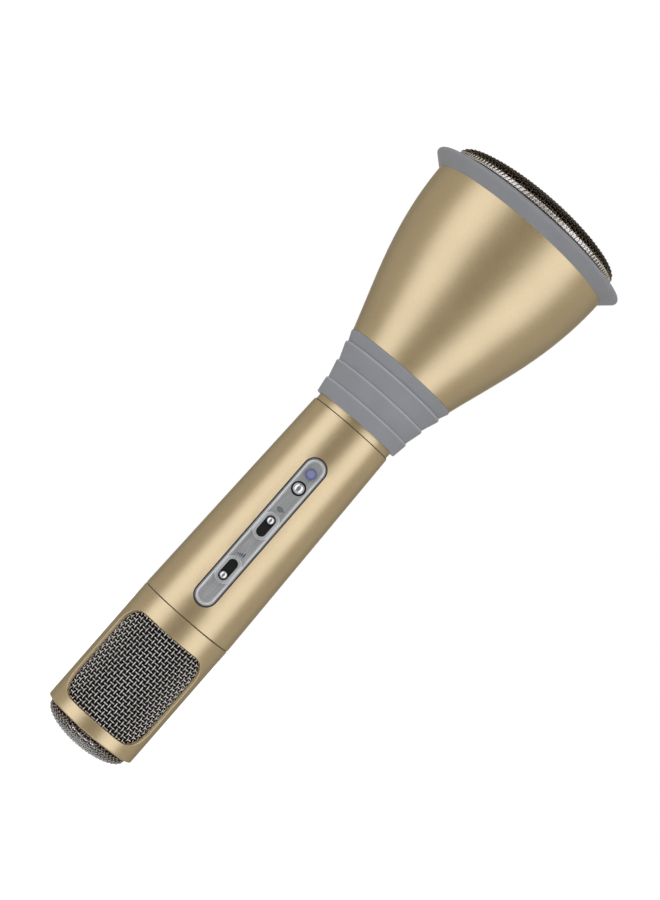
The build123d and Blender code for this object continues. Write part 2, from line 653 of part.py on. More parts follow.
# ---------------------------------------------------------------- horn
HORN_SHAPE = ((22.8, 71.5), (27.5, 85.8), (32.0, 100.1), (35.4, 114.4), (37.3, 128.7))
SLEEVE_SEAT = ((NECK_R, SLEEVE_LOW_Z), (17.7, 57.2), (19.3, 64.2), (21.2, SLEEVE_HIGH_Z))
SHELF_LOW_Z = BAFFLE_Z - 3.0
SHELF_BORE_R = 29.3
with BuildPart() as horn_shell:
    with BuildSketch(Plane.XZ):
        with BuildLine():
            seat = Spline(*SLEEVE_SEAT)
            flare = Spline(*HORN_SHAPE, (HORN_MOUTH_R, BUMPER_LOW_Z))
            inside = Spline(
                (35.5, SHELF_LOW_Z),
                (33.4, 114.4),
                (30.0, 100.1),
                (25.3, 85.8),
                (20.4, 73.5),
                (17.3, 64.5),
                (15.7, 57.2),
                (14.6, 46.2),
            )
            Polyline(seat @ 1, flare @ 0)
            Polyline(
                flare @ 1,
                (LAND_R, BUMPER_LOW_Z),
                (LAND_R, HORN_HIGH_Z),
                (MOUTH_BORE_R, HORN_HIGH_Z),
                (MOUTH_BORE_R, BAFFLE_Z),
                (SHELF_BORE_R, BAFFLE_Z),
                (SHELF_BORE_R, SHELF_LOW_Z),
                inside @ 0,
            )
            Polyline(
                inside @ 1,
                (0, 46.2),
                (0, HORN_LOW_Z),
                (SPIGOT_BORE_R, HORN_LOW_Z),
                (SPIGOT_BORE_R, 40.5),
                (15.1, 40.5),
                (15.1, HANDLE_HIGH_Z - SEAM_HALF),
                (16.1, HANDLE_HIGH_Z - SEAM_HALF),
                (16.1, HORN_LOW_Z),
                (NECK_R, HORN_LOW_Z),
                seat @ 0,
            )
        make_face()
    revolve(axis=Axis.Z)
    # bosses under the shelf for the loudspeaker's screws
    with BuildSketch(Plane.XY.offset(SHELF_LOW_Z - 5.0)):
        with PolarLocations(SPEAKER_PITCH_R, 4, start_angle=45):
            Circle(2.4)
    extrude(amount=5.1)
    with BuildSketch(Plane.XY.offset(SHELF_LOW_Z - 4.0)):
        with PolarLocations(SPEAKER_PITCH_R, 4, start_angle=45):
            Circle(SCREW_R)
    extrude(amount=8.0, mode=Mode.SUBTRACT)
    # web between handle and horn: screw holes and a slot for the loudspeaker leads
    with BuildSketch(Plane.XY.offset(HORN_LOW_Z)):
        with Locations(*FRAME_SCREWS):
            Circle(SCREW_R)
        with Locations((0, -10.8)):
            SlotOverall(7.0, 2.6)
    extrude(amount=3.0, mode=Mode.SUBTRACT)
finish(horn_shell, "horn_shell")

# Each band of the sleeve flares towards the horn and overhangs the next: low end, low radius, high radius.
BANDS = ((46.6, 18.0, 18.8), (52.7, 18.3, 20.0), (59.9, 19.5, 21.9), (67.0, 21.3, 22.9))
BAND_EDGE = 0.9
band_outline = []
for (low, low_r, high_r), top in zip(BANDS, (52.7, 59.9, 67.0, SLEEVE_HIGH_Z)):
    band_outline += [(low_r, low), (high_r, top - BAND_EDGE), (high_r, top - 0.25), (high_r - 0.25, top)]
with BuildPart() as neck_sleeve:
    with BuildSketch(Plane.XZ):
        with BuildLine():
            seat = Spline(*SLEEVE_SEAT)
            Polyline(seat @ 0, *band_outline, seat @ 1)
        make_face()
    revolve(axis=Axis.Z)
finish(neck_sleeve, "neck_sleeve")

# The V's point stands out this much further before it is rounded over.
BUMPER_POINT = 1.0
with BuildPart() as rim_bumper:
    revolve(
        profile(
            (LAND_R, BUMPER_LOW_Z),
            (HORN_MOUTH_R + 0.15, BUMPER_LOW_Z),
            (BUMPER_R + BUMPER_POINT, BUMPER_CREST_Z),
            (HORN_MOUTH_R - 0.1, BUMPER_HIGH_Z),
            (BUMPER_BORE_R, BUMPER_HIGH_Z),
            (BUMPER_BORE_R, HORN_HIGH_Z),
            (LAND_R, HORN_HIGH_Z),
        ),
        axis=Axis.Z,
    )
    fillet(edges().filter_by(GeomType.CIRCLE).sort_by(SortBy.RADIUS)[-1], BUMPER_ROUND)
finish(rim_bumper, "rim_bumper")

# A flat ring under the grille, with a spigot that centres it in the mouth of the horn.
RING_BORE_R, RING_SPIGOT_LOW_Z = 33.6, 140.0
with BuildPart() as grille_ring:
    revolve(ring(RING_BORE_R, BUMPER_BORE_R - MESH_GAP, HORN_HIGH_Z, GRILLE_LOW_Z), axis=Axis.Z)
    revolve(ring(RING_BORE_R, MOUTH_BORE_R - 0.05, RING_SPIGOT_LOW_Z, HORN_HIGH_Z), axis=Axis.Z)
finish(grille_ring, "grille_ring")

GRILLE_THICK = 0.9
with BuildPart() as speaker_grille:
    with BuildSketch(Plane.XZ):
        with BuildLine():
            dome = Spline(
                (GRILLE_R, GRILLE_SHOULDER_Z - 0.4),
                (GRILLE_R - 1.6, GRILLE_SHOULDER_Z + 1.1),
                (24.0, GRILLE_APEX_Z - 2.2),
                (0, GRILLE_APEX_Z),
                tangents=[(0, 1), (-1, 0)],
            )
            Polyline(dome @ 1, (0, GRILLE_LOW_Z), (GRILLE_R, GRILLE_LOW_Z), dome @ 0)
        make_face()
    revolve(axis=Axis.Z)
    offset(amount=-GRILLE_THICK, openings=faces().sort_by(Axis.Z)[0])
finish(speaker_grille, "speaker_grille")

# ---------------------------------------------------------------- loudspeaker
FLANGE_LOW_Z, FLANGE_HIGH_Z = BAFFLE_Z + 0.8, BAFFLE_Z + 2.0
with BuildPart() as speaker_gasket:
    revolve(ring(SHELF_BORE_R, FLANGE_R, BAFFLE_Z, FLANGE_LOW_Z), axis=Axis.Z)
    with BuildSketch(Plane.XY.offset(BAFFLE_Z)):
        with PolarLocations(SPEAKER_PITCH_R, 4, start_angle=45):
            Circle(SCREW_R)
    extrude(amount=2.0, mode=Mode.SUBTRACT)
finish(speaker_gasket, "speaker_gasket")

BASKET_LOW_Z, SPIDER_SEAT_Z = 121.3, 126.0
BASKET_R = 18.6
POLE_R, PLATE_BORE_R = 7.7, 9.3
with BuildPart() as speaker_basket:
    revolve(
        profile(
            (9.4, BASKET_LOW_Z),
            (BASKET_R, BASKET_LOW_Z),
            (BASKET_R, 124.0),
            (28.6, FLANGE_LOW_Z),
            (FLANGE_R, FLANGE_LOW_Z),
            (FLANGE_R, FLANGE_HIGH_Z),
            (27.2, FLANGE_HIGH_Z),
            (27.2, 137.0),
            (20.0, 127.2),
            (20.0, SPIDER_SEAT_Z),
            (17.6, SPIDER_SEAT_Z),
            (17.6, BASKET_LOW_Z + 1.2),
            (9.4, BASKET_LOW_Z + 1.2),
        ),
        axis=Axis.Z,
    )
    with BuildSketch(Plane.XY.offset(127.8)):
        with PolarLocations(0, 6):
            Polygon((16, -6.0), (31, -13.4), (31, 13.4), (16, 6.0), align=None)
    extrude(amount=6.6, mode=Mode.SUBTRACT)
    with BuildSketch(Plane.XY.offset(FLANGE_LOW_Z)):
        with PolarLocations(SPEAKER_PITCH_R, 4, start_angle=45):
            Circle(SCREW_R)
    extrude(amount=2.0, mode=Mode.SUBTRACT)
finish(speaker_basket, "speaker_basket")

MAGNET_HIGH_Z, MAGNET_LOW_Z = BASKET_LOW_Z - 3.0, BASKET_LOW_Z - 11.0
with BuildPart() as top_plate:
    revolve(ring(PLATE_BORE_R, 16.5, MAGNET_HIGH_Z, BASKET_LOW_Z), axis=Axis.Z)
finish(top_plate, "top_plate")

with BuildPart() as speaker_magnet:
    revolve(ring(11.0, 18.0, MAGNET_LOW_Z, MAGNET_HIGH_Z), axis=Axis.Z)
    chamfer(edges().filter_by(GeomType.CIRCLE).group_by(SortBy.RADIUS)[-1], 0.5)
finish(speaker_magnet, "speaker_magnet")

with BuildPart() as magnet_yoke:
    revolve(ring(0, 16.5, MAGNET_LOW_Z - 3.0, MAGNET_LOW_Z), axis=Axis.Z)
    revolve(ring(0, POLE_R, MAGNET_LOW_Z - 1.0, BASKET_LOW_Z), axis=Axis.Z)
    with BuildSketch(Plane.XY.offset(MAGNET_LOW_Z - 4.0)):
        Circle(2.5)
    extrude(amount=20.0, mode=Mode.SUBTRACT)
finish(magnet_yoke, "magnet_yoke")

COIL_MIDDLE_Z = (MAGNET_HIGH_Z + BASKET_LOW_Z) / 2
with BuildPart() as voice_coil:
    revolve(ring(COIL_R - 0.3, COIL_R, 115.0, 129.0), axis=Axis.Z)
    revolve(ring(COIL_R - 0.1, COIL_R + 0.4, COIL_MIDDLE_Z - 3.0, COIL_MIDDLE_Z + 3.0), axis=Axis.Z)
finish(voice_coil, "voice_coil")

CONE_LOW_Z = 128.0
CONE_SLOPE = (FLANGE_HIGH_Z - 0.5 - CONE_LOW_Z) / (CONE_MOUTH_R - 1.0 - COIL_R)
with BuildPart() as speaker_cone:
    revolve(
        profile(
            (COIL_R, CONE_LOW_Z),
            (CONE_MOUTH_R - 1.0, FLANGE_HIGH_Z - 0.5),
            (CONE_MOUTH_R, FLANGE_HIGH_Z - 0.5),
            (CONE_MOUTH_R, FLANGE_HIGH_Z),
            (CONE_MOUTH_R - 1.2, FLANGE_HIGH_Z),
            (COIL_R, CONE_LOW_Z + 0.6),
        ),
        axis=Axis.Z,
    )
finish(speaker_cone, "speaker_cone")

CAP_R, CAP_LOW_Z, CAP_HIGH_Z = 9.6, 129.3, 132.9
with BuildPart() as dust_cap:
    with BuildSketch(Plane.XZ):
        with BuildLine():
            over = RadiusArc((CAP_R, CAP_LOW_Z), (0, CAP_HIGH_Z), -14.6)
            under = RadiusArc((0, CAP_HIGH_Z - 0.45), (CAP_R - 0.6, CAP_LOW_Z), 14.2)
            Line(over @ 1, under @ 0)
            Line(under @ 1, over @ 0)
        make_face()
    revolve(axis=Axis.Z)
finish(dust_cap, "dust_cap")

ROLL_MIDDLE_R, ROLL_R, ROLL_THICK = 26.8, 1.3, 0.5
SURROUND_R = 29.6
with BuildPart() as surround:
    skirt_low, skirt_high = FLANGE_HIGH_Z, FLANGE_HIGH_Z + ROLL_THICK
    revolve(ring(CONE_MOUTH_R - 1.2, ROLL_MIDDLE_R - ROLL_R + ROLL_THICK, skirt_low, skirt_high), axis=Axis.Z)
    revolve(ring(ROLL_MIDDLE_R + ROLL_R - ROLL_THICK, SURROUND_R, skirt_low, skirt_high), axis=Axis.Z)
    with BuildSketch(Plane.XZ):
        with Locations((ROLL_MIDDLE_R, FLANGE_HIGH_Z)):
            Circle(ROLL_R)
            Circle(ROLL_R - ROLL_THICK, mode=Mode.SUBTRACT)
        with Locations((ROLL_MIDDLE_R, FLANGE_HIGH_Z)):
            Rectangle(8, 8, align=(Align.CENTER, Align.MIN), mode=Mode.INTERSECT)
    revolve(axis=Axis.Z)
finish(surround, "surround")

SPIDER_R, SPIDER_THICK, SPIDER_WAVE = 19.6, 0.4, 0.55
with BuildPart() as spider:
    folds = 4
    pitch = (17.0 - COIL_R - 1.0) / folds
    with BuildSketch(Plane.XZ):
        with BuildLine():
            crests = [(COIL_R, 0), (COIL_R + 1.0, 0)]
            for fold in range(folds):
                crests.append((COIL_R + 1.0 + (fold + 0.25) * pitch, SPIDER_WAVE))
                crests.append((COIL_R + 1.0 + (fold + 0.75) * pitch, -SPIDER_WAVE))
            crests += [(17.4, 0), (SPIDER_R, 0)]
            lower = [(r, SPIDER_SEAT_Z + rise) for r, rise in crests]
            upper = [(r, z + SPIDER_THICK) for r, z in reversed(lower)]
            Polyline(*lower, *upper, close=True)
        make_face()
    revolve(axis=Axis.Z)
finish(spider, "spider")

TERMINAL_X, TERMINAL_Y = 2.0, -20.0
with BuildPart() as speaker_terminals:
    with BuildSketch(Plane.XY.offset(BASKET_LOW_Z + 0.2)):
        with Locations((0, TERMINAL_Y - 1.2)):
            Rectangle(8.0, 6.0, align=(Align.CENTER, Align.MIN))
        Circle(BASKET_R, mode=Mode.SUBTRACT)
    extrude(amount=2.2)
finish(speaker_terminals, "speaker_terminals")


# ---------------------------------------------------------------- screws
def screws(places, seat, length, up):
    """Pan-head screws whose heads sit on a plane; each shank goes down from it, or up when up is True."""
    direction = 1 if up else -1
    with BuildPart() as group:
        with BuildSketch(seat):
            with Locations(*places):
                Circle(SCREW_R)
        extrude(amount=direction * length)
        with BuildSketch(seat):
            with Locations(*places):
                Circle(SCREW_HEAD_R)
        extrude(amount=-direction * 1.2)
        with BuildSketch(seat.offset(-direction * 1.2)):
            with Locations(*places):
                Rectangle(2.0, 0.5)
                Rectangle(0.5, 2.0)
        extrude(amount=direction * 0.6, mode=Mode.SUBTRACT)
    return group


finish(screws(FRAME_SCREWS, Plane.XY.offset(COLLAR_WEB_LOW_Z), 8.5, True), "lower_frame_screws")
finish(screws(FRAME_SCREWS, Plane.XY.offset(46.2), 8.5, False), "upper_frame_screws")
finish(screws(BOARD_SCREWS, STRIP.offset(BOARD_FRONT), 3.6, False), "board_screws")
speaker_holes = [
    (SPEAKER_PITCH_R * math.cos(math.radians(angle)), SPEAKER_PITCH_R * math.sin(math.radians(angle)))
    for angle in (45, 135, 225, 315)
]
finish(screws(speaker_holes, Plane.XY.offset(FLANGE_HIGH_Z), 8.0, False), "speaker_screws")


# ---------------------------------------------------------------- leads
def on_board(x, along, out):
    """World point above the main board's plane."""
    return STRIP.from_local_coords(Vector(x, along, out))


plug_face = on_board(LEAD_HOLE[0], PLUG_LOW, BOARD_FRONT)
mic_route = [
    (0, 0, CAPSULE_HIGH_Z),
    (0, 0, -74),
    (LEAD_HOLE[0], LEAD_HOLE[1], -60),
    (LEAD_HOLE[0], LEAD_HOLE[1], plug_face.Z - 0.05),
]
mic_lead = wire(mic_route, 6, 1.3)
mic_lead.label = "mic_lead"
export_step(mic_lead, "parts/mic_lead.step")

for name, rest_z, lead_z in (("plus", CELL_HIGH_Z, RED_LEAD_Z), ("minus", CELL_LOW_Z, BLACK_LEAD_Z)):
    landing = on_board(0, lead_z - STRIP_Z, BOARD_BACK)
    cell_lead = wire([(0, CELL_Y, rest_z), (0, CELL_Y, lead_z), (0, landing.Y + 0.05, lead_z)], 0.9, 1.1)
    cell_lead.label = f"battery_lead_{name}"
    export_step(cell_lead, f"parts/battery_lead_{name}.step")

for name, side in (("plus", 1), ("minus", -1)):
    start = on_board(side * TERMINAL_X, 41.0, BOARD_FRONT)
    route = [
        (start.X, start.Y - 0.05, start.Z),
        (start.X, -10.8, start.Z),
        (start.X, -10.8, 62),
        (start.X, TERMINAL_Y, 100),
        (start.X, TERMINAL_Y, BASKET_LOW_Z + 0.2),
    ]
    speaker_lead = wire(route, [1.6, 14, 14], 1.3)
    speaker_lead.label = f"speaker_lead_{name}"
    export_step(speaker_lead, f"parts/speaker_lead_{name}.step")
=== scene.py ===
import json
import math

import bpy
import numpy as np
from mathutils import Matrix, Vector, noise


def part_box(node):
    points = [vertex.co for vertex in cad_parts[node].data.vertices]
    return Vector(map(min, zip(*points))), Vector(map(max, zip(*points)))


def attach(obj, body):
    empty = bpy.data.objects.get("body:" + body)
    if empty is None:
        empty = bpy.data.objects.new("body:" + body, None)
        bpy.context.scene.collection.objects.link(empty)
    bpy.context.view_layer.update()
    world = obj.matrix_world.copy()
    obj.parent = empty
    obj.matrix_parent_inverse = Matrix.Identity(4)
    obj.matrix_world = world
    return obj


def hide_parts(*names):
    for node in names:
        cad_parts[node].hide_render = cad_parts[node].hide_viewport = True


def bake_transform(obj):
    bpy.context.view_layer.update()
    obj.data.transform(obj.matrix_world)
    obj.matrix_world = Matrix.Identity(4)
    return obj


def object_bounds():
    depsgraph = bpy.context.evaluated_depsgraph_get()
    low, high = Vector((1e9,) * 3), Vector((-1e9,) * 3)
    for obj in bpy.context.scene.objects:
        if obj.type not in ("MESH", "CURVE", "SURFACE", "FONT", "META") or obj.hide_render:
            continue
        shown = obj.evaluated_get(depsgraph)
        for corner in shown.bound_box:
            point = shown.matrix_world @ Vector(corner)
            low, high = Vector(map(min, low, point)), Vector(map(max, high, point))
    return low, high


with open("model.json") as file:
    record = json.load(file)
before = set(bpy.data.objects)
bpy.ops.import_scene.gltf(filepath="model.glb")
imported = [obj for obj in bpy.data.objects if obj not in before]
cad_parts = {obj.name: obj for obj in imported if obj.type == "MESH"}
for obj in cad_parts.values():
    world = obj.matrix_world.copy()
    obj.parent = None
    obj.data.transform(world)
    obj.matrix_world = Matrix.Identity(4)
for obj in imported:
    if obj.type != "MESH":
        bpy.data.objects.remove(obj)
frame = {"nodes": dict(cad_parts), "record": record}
CAD_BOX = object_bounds()
MM = 0.001
NODES = frame["nodes"]


# ------------------------------------------------------------------ camera
# The long axis runs up to the right, this far above the picture's horizontal.
LONG_AXIS_TILT = math.radians(48.9)
CAMERA_AT = Vector((-0.0003, -0.894, 0.0027))
AIM = Vector((-0.0006, 0.0, 0.0334))
camera_data = bpy.data.cameras.new("camera")
camera_data.lens, camera_data.sensor_width = 100, 36
camera_data.clip_start, camera_data.clip_end = 0.05, 50
camera = bpy.data.objects.new("camera", camera_data)
bpy.context.scene.collection.objects.link(camera)
look = (AIM - CAMERA_AT).normalized()
right = Vector((math.sin(LONG_AXIS_TILT), 0, math.cos(LONG_AXIS_TILT)))
right = (right - right.dot(look) * look).normalized()
up = (-look).cross(right)
turned = Matrix((right, up, -look)).transposed().to_4x4()
camera.matrix_world = Matrix.Translation(CAMERA_AT) @ turned
bpy.context.scene.camera = camera


# ------------------------------------------------------------------ mesh helpers
def add_mesh(name, verts, faces, smooth_angle=35):
    """A mesh object from arrays of points and faces, smooth but for its sharp edges."""
    mesh = bpy.data.meshes.new(name)
    mesh.from_pydata([tuple(v) for v in verts], [], [tuple(int(i) for i in f) for f in faces])
    mesh.validate()
    mesh.update()
    mesh.shade_smooth()
    mesh.set_sharp_from_angle(angle=math.radians(smooth_angle))
    obj = bpy.data.objects.new(name, mesh)
    bpy.context.scene.collection.objects.link(obj)
    return obj


def fast_mesh(name, verts, quads, crown):
    """A smooth mesh of quads from large arrays; crown says how far each point stands out of the weave."""
    mesh = bpy.data.meshes.new(name)
    mesh.vertices.add(len(verts))
    mesh.vertices.foreach_set("co", np.asarray(verts, np.float32).ravel())
    count = len(quads)
    mesh.loops.add(count * 4)
    mesh.loops.foreach_set("vertex_index", np.asarray(quads, np.int32).ravel())
    mesh.polygons.add(count)
    mesh.polygons.foreach_set("loop_start", np.arange(0, count * 4, 4, dtype=np.int32))
    mesh.polygons.foreach_set("loop_total", np.full(count, 4, np.int32))
    mesh.polygons.foreach_set("use_smooth", np.ones(count, bool))
    mesh.update(calc_edges=True)
    stands = mesh.attributes.new("crown", "FLOAT", "POINT")
    stands.data.foreach_set("value", np.asarray(crown, np.float32))
    obj = bpy.data.objects.new(name, mesh)
    bpy.context.scene.collection.objects.link(obj)
    return obj


def lathe(name, outline, segments=192, closed=True, smooth_angle=35):
    """Turns an outline of (radius, height) points in millimetres about the Z axis."""
    outline = np.asarray(outline, float) * MM
    after = np.roll(outline, -1, axis=0)
    if closed and (outline[:, 0] * after[:, 1] - outline[:, 1] * after[:, 0]).sum() < 0:
        outline = outline[::-1]
    angles = np.linspace(0, 2 * math.pi, segments, endpoint=False)
    verts = np.empty((segments, len(outline), 3))
    verts[:, :, 0] = np.cos(angles)[:, None] * outline[None, :, 0]
    verts[:, :, 1] = np.sin(angles)[:, None] * outline[None, :, 0]
    verts[:, :, 2] = outline[None, :, 1]
    count = len(outline)
    faces = []
    for i in range(segments):
        j = (i + 1) % segments
        for k in range(count if closed else count - 1):
            m = (k + 1) % count
            faces.append((i * count + k, j * count + k, j * count + m, i * count + m))
    return add_mesh(name, verts.reshape(-1, 3), faces, smooth_angle)


def tubes(name, wires, radius, flat=1.0):
    """One mesh of six-sided wires with closed ends, thinner out of the surface where flat is under 1.

    Each wire is (points, surface normals, rise above the surface), in metres.
    """
    sides = 6
    all_verts, all_quads, all_crowns, base = [], [], [], 0
    turn = np.linspace(0, 2 * math.pi, sides, endpoint=False)
    for points, normals, rise in wires:
        tangent = np.gradient(points, axis=0)
        tangent /= np.linalg.norm(tangent, axis=1)[:, None]
        side = np.cross(tangent, normals)
        side /= np.linalg.norm(side, axis=1)[:, None]
        out = np.cross(side, tangent)
        ring = np.cos(turn)[None, :, None] * side[:, None, :]
        ring = ring + flat * np.sin(turn)[None, :, None] * out[:, None, :]
        verts = points[:, None, :] + radius * ring
        count = len(points)
        index = base + np.arange(count * sides).reshape(count, sides)
        after = np.roll(index, -1, axis=1)
        quads = np.stack([index[:-1], index[1:], after[1:], after[:-1]], axis=-1).reshape(-1, 4)
        first, last = index[0], index[-1]
        ends = [first[[0, 1, 2, 3]], first[[0, 3, 4, 5]], last[[3, 2, 1, 0]], last[[5, 4, 3, 0]]]
        outwards = (out * normals).sum(axis=1)[:, None] * np.sin(turn)[None, :] * radius
        all_verts.append(verts.reshape(-1, 3))
        all_quads += [quads, np.array(ends)]
        all_crowns.append((rise[:, None] + outwards).ravel())
        base += count * sides
    crown = np.concatenate(all_crowns)
    crown = (crown - crown.min()) / (crown.max() - crown.min())
    return fast_mesh(name, np.concatenate(all_verts), np.concatenate(all_quads), crown)


def weave(surface, pitch_u, pitch_v, crimp, span_u, span_v, inside=None, per_pitch=7):
    """Plain weave on a surface, as wires for tubes(): they cross over and under in turn.

    surface(u, v) gives points and normals. inside(w), if given, is how far the wires at w reach each way.
    """
    wires = []
    for along_u in (True, False):
        pitch, other = (pitch_u, pitch_v) if along_u else (pitch_v, pitch_u)
        span, lines = (span_u, span_v) if along_u else (span_v, span_u)
        first, last = math.ceil(lines[0] / other), math.floor(lines[1] / other)
        for k in range(first, last + 1):
            low, high = span
            if inside:
                reach = inside(k * other)
                if reach < 2 * pitch:
                    continue
                low, high = -reach, reach
            t = np.linspace(low, high, max(8, int((high - low) / pitch * per_pitch)))
            lift = crimp * np.cos(math.pi * t / pitch + math.pi * k) * (1 if along_u else -1)
            fixed = np.full_like(t, k * other)
            points, normals = surface(t, fixed) if along_u else surface(fixed, t)
            wires.append((points + normals * lift[:, None], normals, lift))
    return wires


def dome_surface(radii, heights, outward):
    """Surface of a pressed dome: (u, v) is the flat cloth, wrapped down the dome by arc length."""
    radii, heights = np.asarray(radii, float) * MM, np.asarray(heights, float) * MM
    step = np.hypot(np.diff(radii), np.diff(heights))
    arc = np.concatenate([[0], np.cumsum(step)])
    slope_r, slope_z = np.gradient(radii, arc), np.gradient(heights, arc)

    def at(u, v):
        s = np.hypot(u, v)
        turn = np.arctan2(v, u)
        r, z = np.interp(s, arc, radii), np.interp(s, arc, heights)
        nr, nz = -np.interp(s, arc, slope_z) * outward, np.interp(s, arc, slope_r) * outward
        size = np.hypot(nr, nz)
        nr, nz = nr / size, nz / size
        points = np.stack([r * np.cos(turn), r * np.sin(turn), z], axis=-1)
        normals = np.stack([nr * np.cos(turn), nr * np.sin(turn), nz], axis=-1)
        return points, normals

    return at, arc[-1]


# ------------------------------------------------------------------ the control strip's plane
# The handle is a cone: its radius falls by 2 mm over its 89 mm, from HANDLE_LOW_R at HANDLE_LOW_Z.
TAPER = 2.0 / 89.0
HANDLE_LOW_R, HANDLE_LOW_Z = 19.0, -45.0
STRIP_FLOOR = -0.8
panel_low, panel_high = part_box("control_panel")
PANEL_Z = (panel_low.z + panel_high.z) / 2
PANEL_HALF_WIDTH = (panel_high.x - panel_low.x) / 2
PANEL_HALF_LENGTH = (panel_high.z - panel_low.z) / 2
across = Vector((1, 0, 0))
outwards = Vector((0, -1, TAPER)).normalized()
along = outwards.cross(across)
touch = Vector((0, -(HANDLE_LOW_R - TAPER * (PANEL_Z / MM - HANDLE_LOW_Z)) * MM, PANEL_Z))


def strip_point(x, y, out):
    """A point given in millimetres across and along the strip and out of its plane."""
    return touch + (across * x + along * y + outwards * out) * MM


# ------------------------------------------------------------------ material helpers
def material(name):
    """A new node material: its tree, its shader and its object coordinates."""
    made = bpy.data.materials.new(name)
    made.use_nodes = True
    tree = made.node_tree
    shader = tree.nodes["Principled BSDF"]
    place = tree.nodes.new("ShaderNodeTexCoord")
    return made, tree, shader, place.outputs["Object"]


def grain(tree, place, scale, detail=3.0, rough=0.55, stretch=None):
    """Noise over the object's own coordinates, stretched if asked."""
    if stretch:
        mapping = tree.nodes.new("ShaderNodeMapping")
        mapping.inputs["Scale"].default_value = stretch
        tree.links.new(place, mapping.inputs["Vector"])
        place = mapping.outputs["Vector"]
    texture = tree.nodes.new("ShaderNodeTexNoise")
    texture.inputs["Scale"].default_value = scale
    texture.inputs["Detail"].default_value = detail
    texture.inputs["Roughness"].default_value = rough
    tree.links.new(place, texture.inputs["Vector"])
    return texture.outputs["Fac"]


def remap(tree, value, low, high, start=0.3, stop=0.7):
    """A value from low to high as a texture goes from start to stop."""
    node = tree.nodes.new("ShaderNodeMapRange")
    node.inputs["From Min"].default_value = start
    node.inputs["From Max"].default_value = stop
    node.inputs["To Min"].default_value = low
    node.inputs["To Max"].default_value = high
    tree.links.new(value, node.inputs["Value"])
    return node.outputs["Result"]


def two_tone(tree, value, dark, light, start=0.3, stop=0.7):
    """A colour that runs between two tones with a texture."""
    node = tree.nodes.new("ShaderNodeValToRGB")
    node.color_ramp.elements[0].position, node.color_ramp.elements[1].position = start, stop
    node.color_ramp.elements[0].color = (*dark, 1)
    node.color_ramp.elements[1].color = (*light, 1)
    tree.links.new(value, node.inputs["Fac"])
    return node.outputs["Color"]


def bump(tree, shader, value, strength, distance):
    """Small relief from a texture."""
    node = tree.nodes.new("ShaderNodeBump")
    node.inputs["Strength"].default_value = strength
    node.inputs["Distance"].default_value = distance
    tree.links.new(value, node.inputs["Height"])
    tree.links.new(node.outputs["Normal"], shader.inputs["Normal"])


def height_of(tree, place):
    """The Z coordinate of a point."""
    parts = tree.nodes.new("ShaderNodeSeparateXYZ")
    tree.links.new(place, parts.inputs["Vector"])
    return parts.outputs["Z"]


def connect(tree, value, socket):
    """Links a socket, or sets a plain number or vector."""
    if isinstance(value, bpy.types.NodeSocket):
        tree.links.new(value, socket)
    else:
        socket.default_value = value


def vector_math(tree, operation, value, other=None, output="Vector"):
    """A vector operation on a point, with a second vector if it needs one."""
    node = tree.nodes.new("ShaderNodeVectorMath")
    node.operation = operation
    tree.links.new(value, node.inputs[0])
    if other is not None:
        node.inputs[1].default_value = other
    return node.outputs[output]


def number_math(tree, operation, value, other=None, clamp=False):
    """An operation on a number, with a second one if it needs it."""
    node = tree.nodes.new("ShaderNodeMath")
    node.operation, node.use_clamp = operation, clamp
    tree.links.new(value, node.inputs[0])
    if other is not None:
        connect(tree, other, node.inputs[1])
    return node.outputs["Value"]


MIX_SOCKETS = {"RGBA": (6, 7, 2), "FLOAT": (2, 3, 0)}


def mixed(tree, factor, first, second, kind="RGBA", blend="MIX"):
    """Mixes two colours or two numbers; at a factor of 0 it gives the first."""
    node = tree.nodes.new("ShaderNodeMix")
    node.data_type, node.blend_type = kind, blend
    first_at, second_at, result = MIX_SOCKETS[kind]
    connect(tree, factor, node.inputs[0])
    connect(tree, first, node.inputs[first_at])
    connect(tree, second, node.inputs[second_at])
    return node.outputs[result]


def plain(name, dark, light, roughness, metallic=0.0, scale=900, relief=0.00002, strength=0.25,
          spread=0.08, stretch=None):
    """Two-tone grain, uneven roughness and fine relief, which most moulded and metal pieces share."""
    made, tree, shader, place = material(name)
    fine = grain(tree, place, scale, stretch=stretch)
    broad = grain(tree, place, scale / 30, 2.0)
    tree.links.new(two_tone(tree, broad, dark, light), shader.inputs["Base Color"])
    tree.links.new(remap(tree, fine, roughness - spread, roughness + spread), shader.inputs["Roughness"])
    shader.inputs["Metallic"].default_value = metallic
    bump(tree, shader, fine, strength, relief)
    return made


# ------------------------------------------------------------------ materials
# Each pair is where a change starts and where it is complete, in metres.
# Painted shade on the chrome: near black below the first depth, full bright plating above the second.
CHROME_SHADE_ENDS = (-0.0011, -0.0005)  # out of the strip's plane
COLLAR_RISES = (-0.00070, -0.00045)  # out of the strip's plane
# Where the border's painted highlight starts, and where the outer edge's painted shade starts.
BORDER_HIGHLIGHT_STARTS = (PANEL_HALF_WIDTH - 0.00165, PANEL_HALF_WIDTH - 0.00135)  # from the plate's middle line
EDGE_SHADE_STARTS = (PANEL_HALF_WIDTH - 0.00058, PANEL_HALF_WIDTH - 0.00040)  # from the plate's middle line
# The collars round the slots take this share of the border's painted highlight.
COLLAR_HIGHLIGHT_SHARE = 0.35  # of the border's brightness, for the collars round the slots
# The top edges of the sleeve's bands, and the painted highlight, a pale line just below each: how far below,
# and how pale.
SLEEVE_EDGES = (52.7, 59.9, 67.0)
EDGE_HIGHLIGHT = ((1.0, 0), (0.55, 1), (0.05, 1), (-0.02, 0))


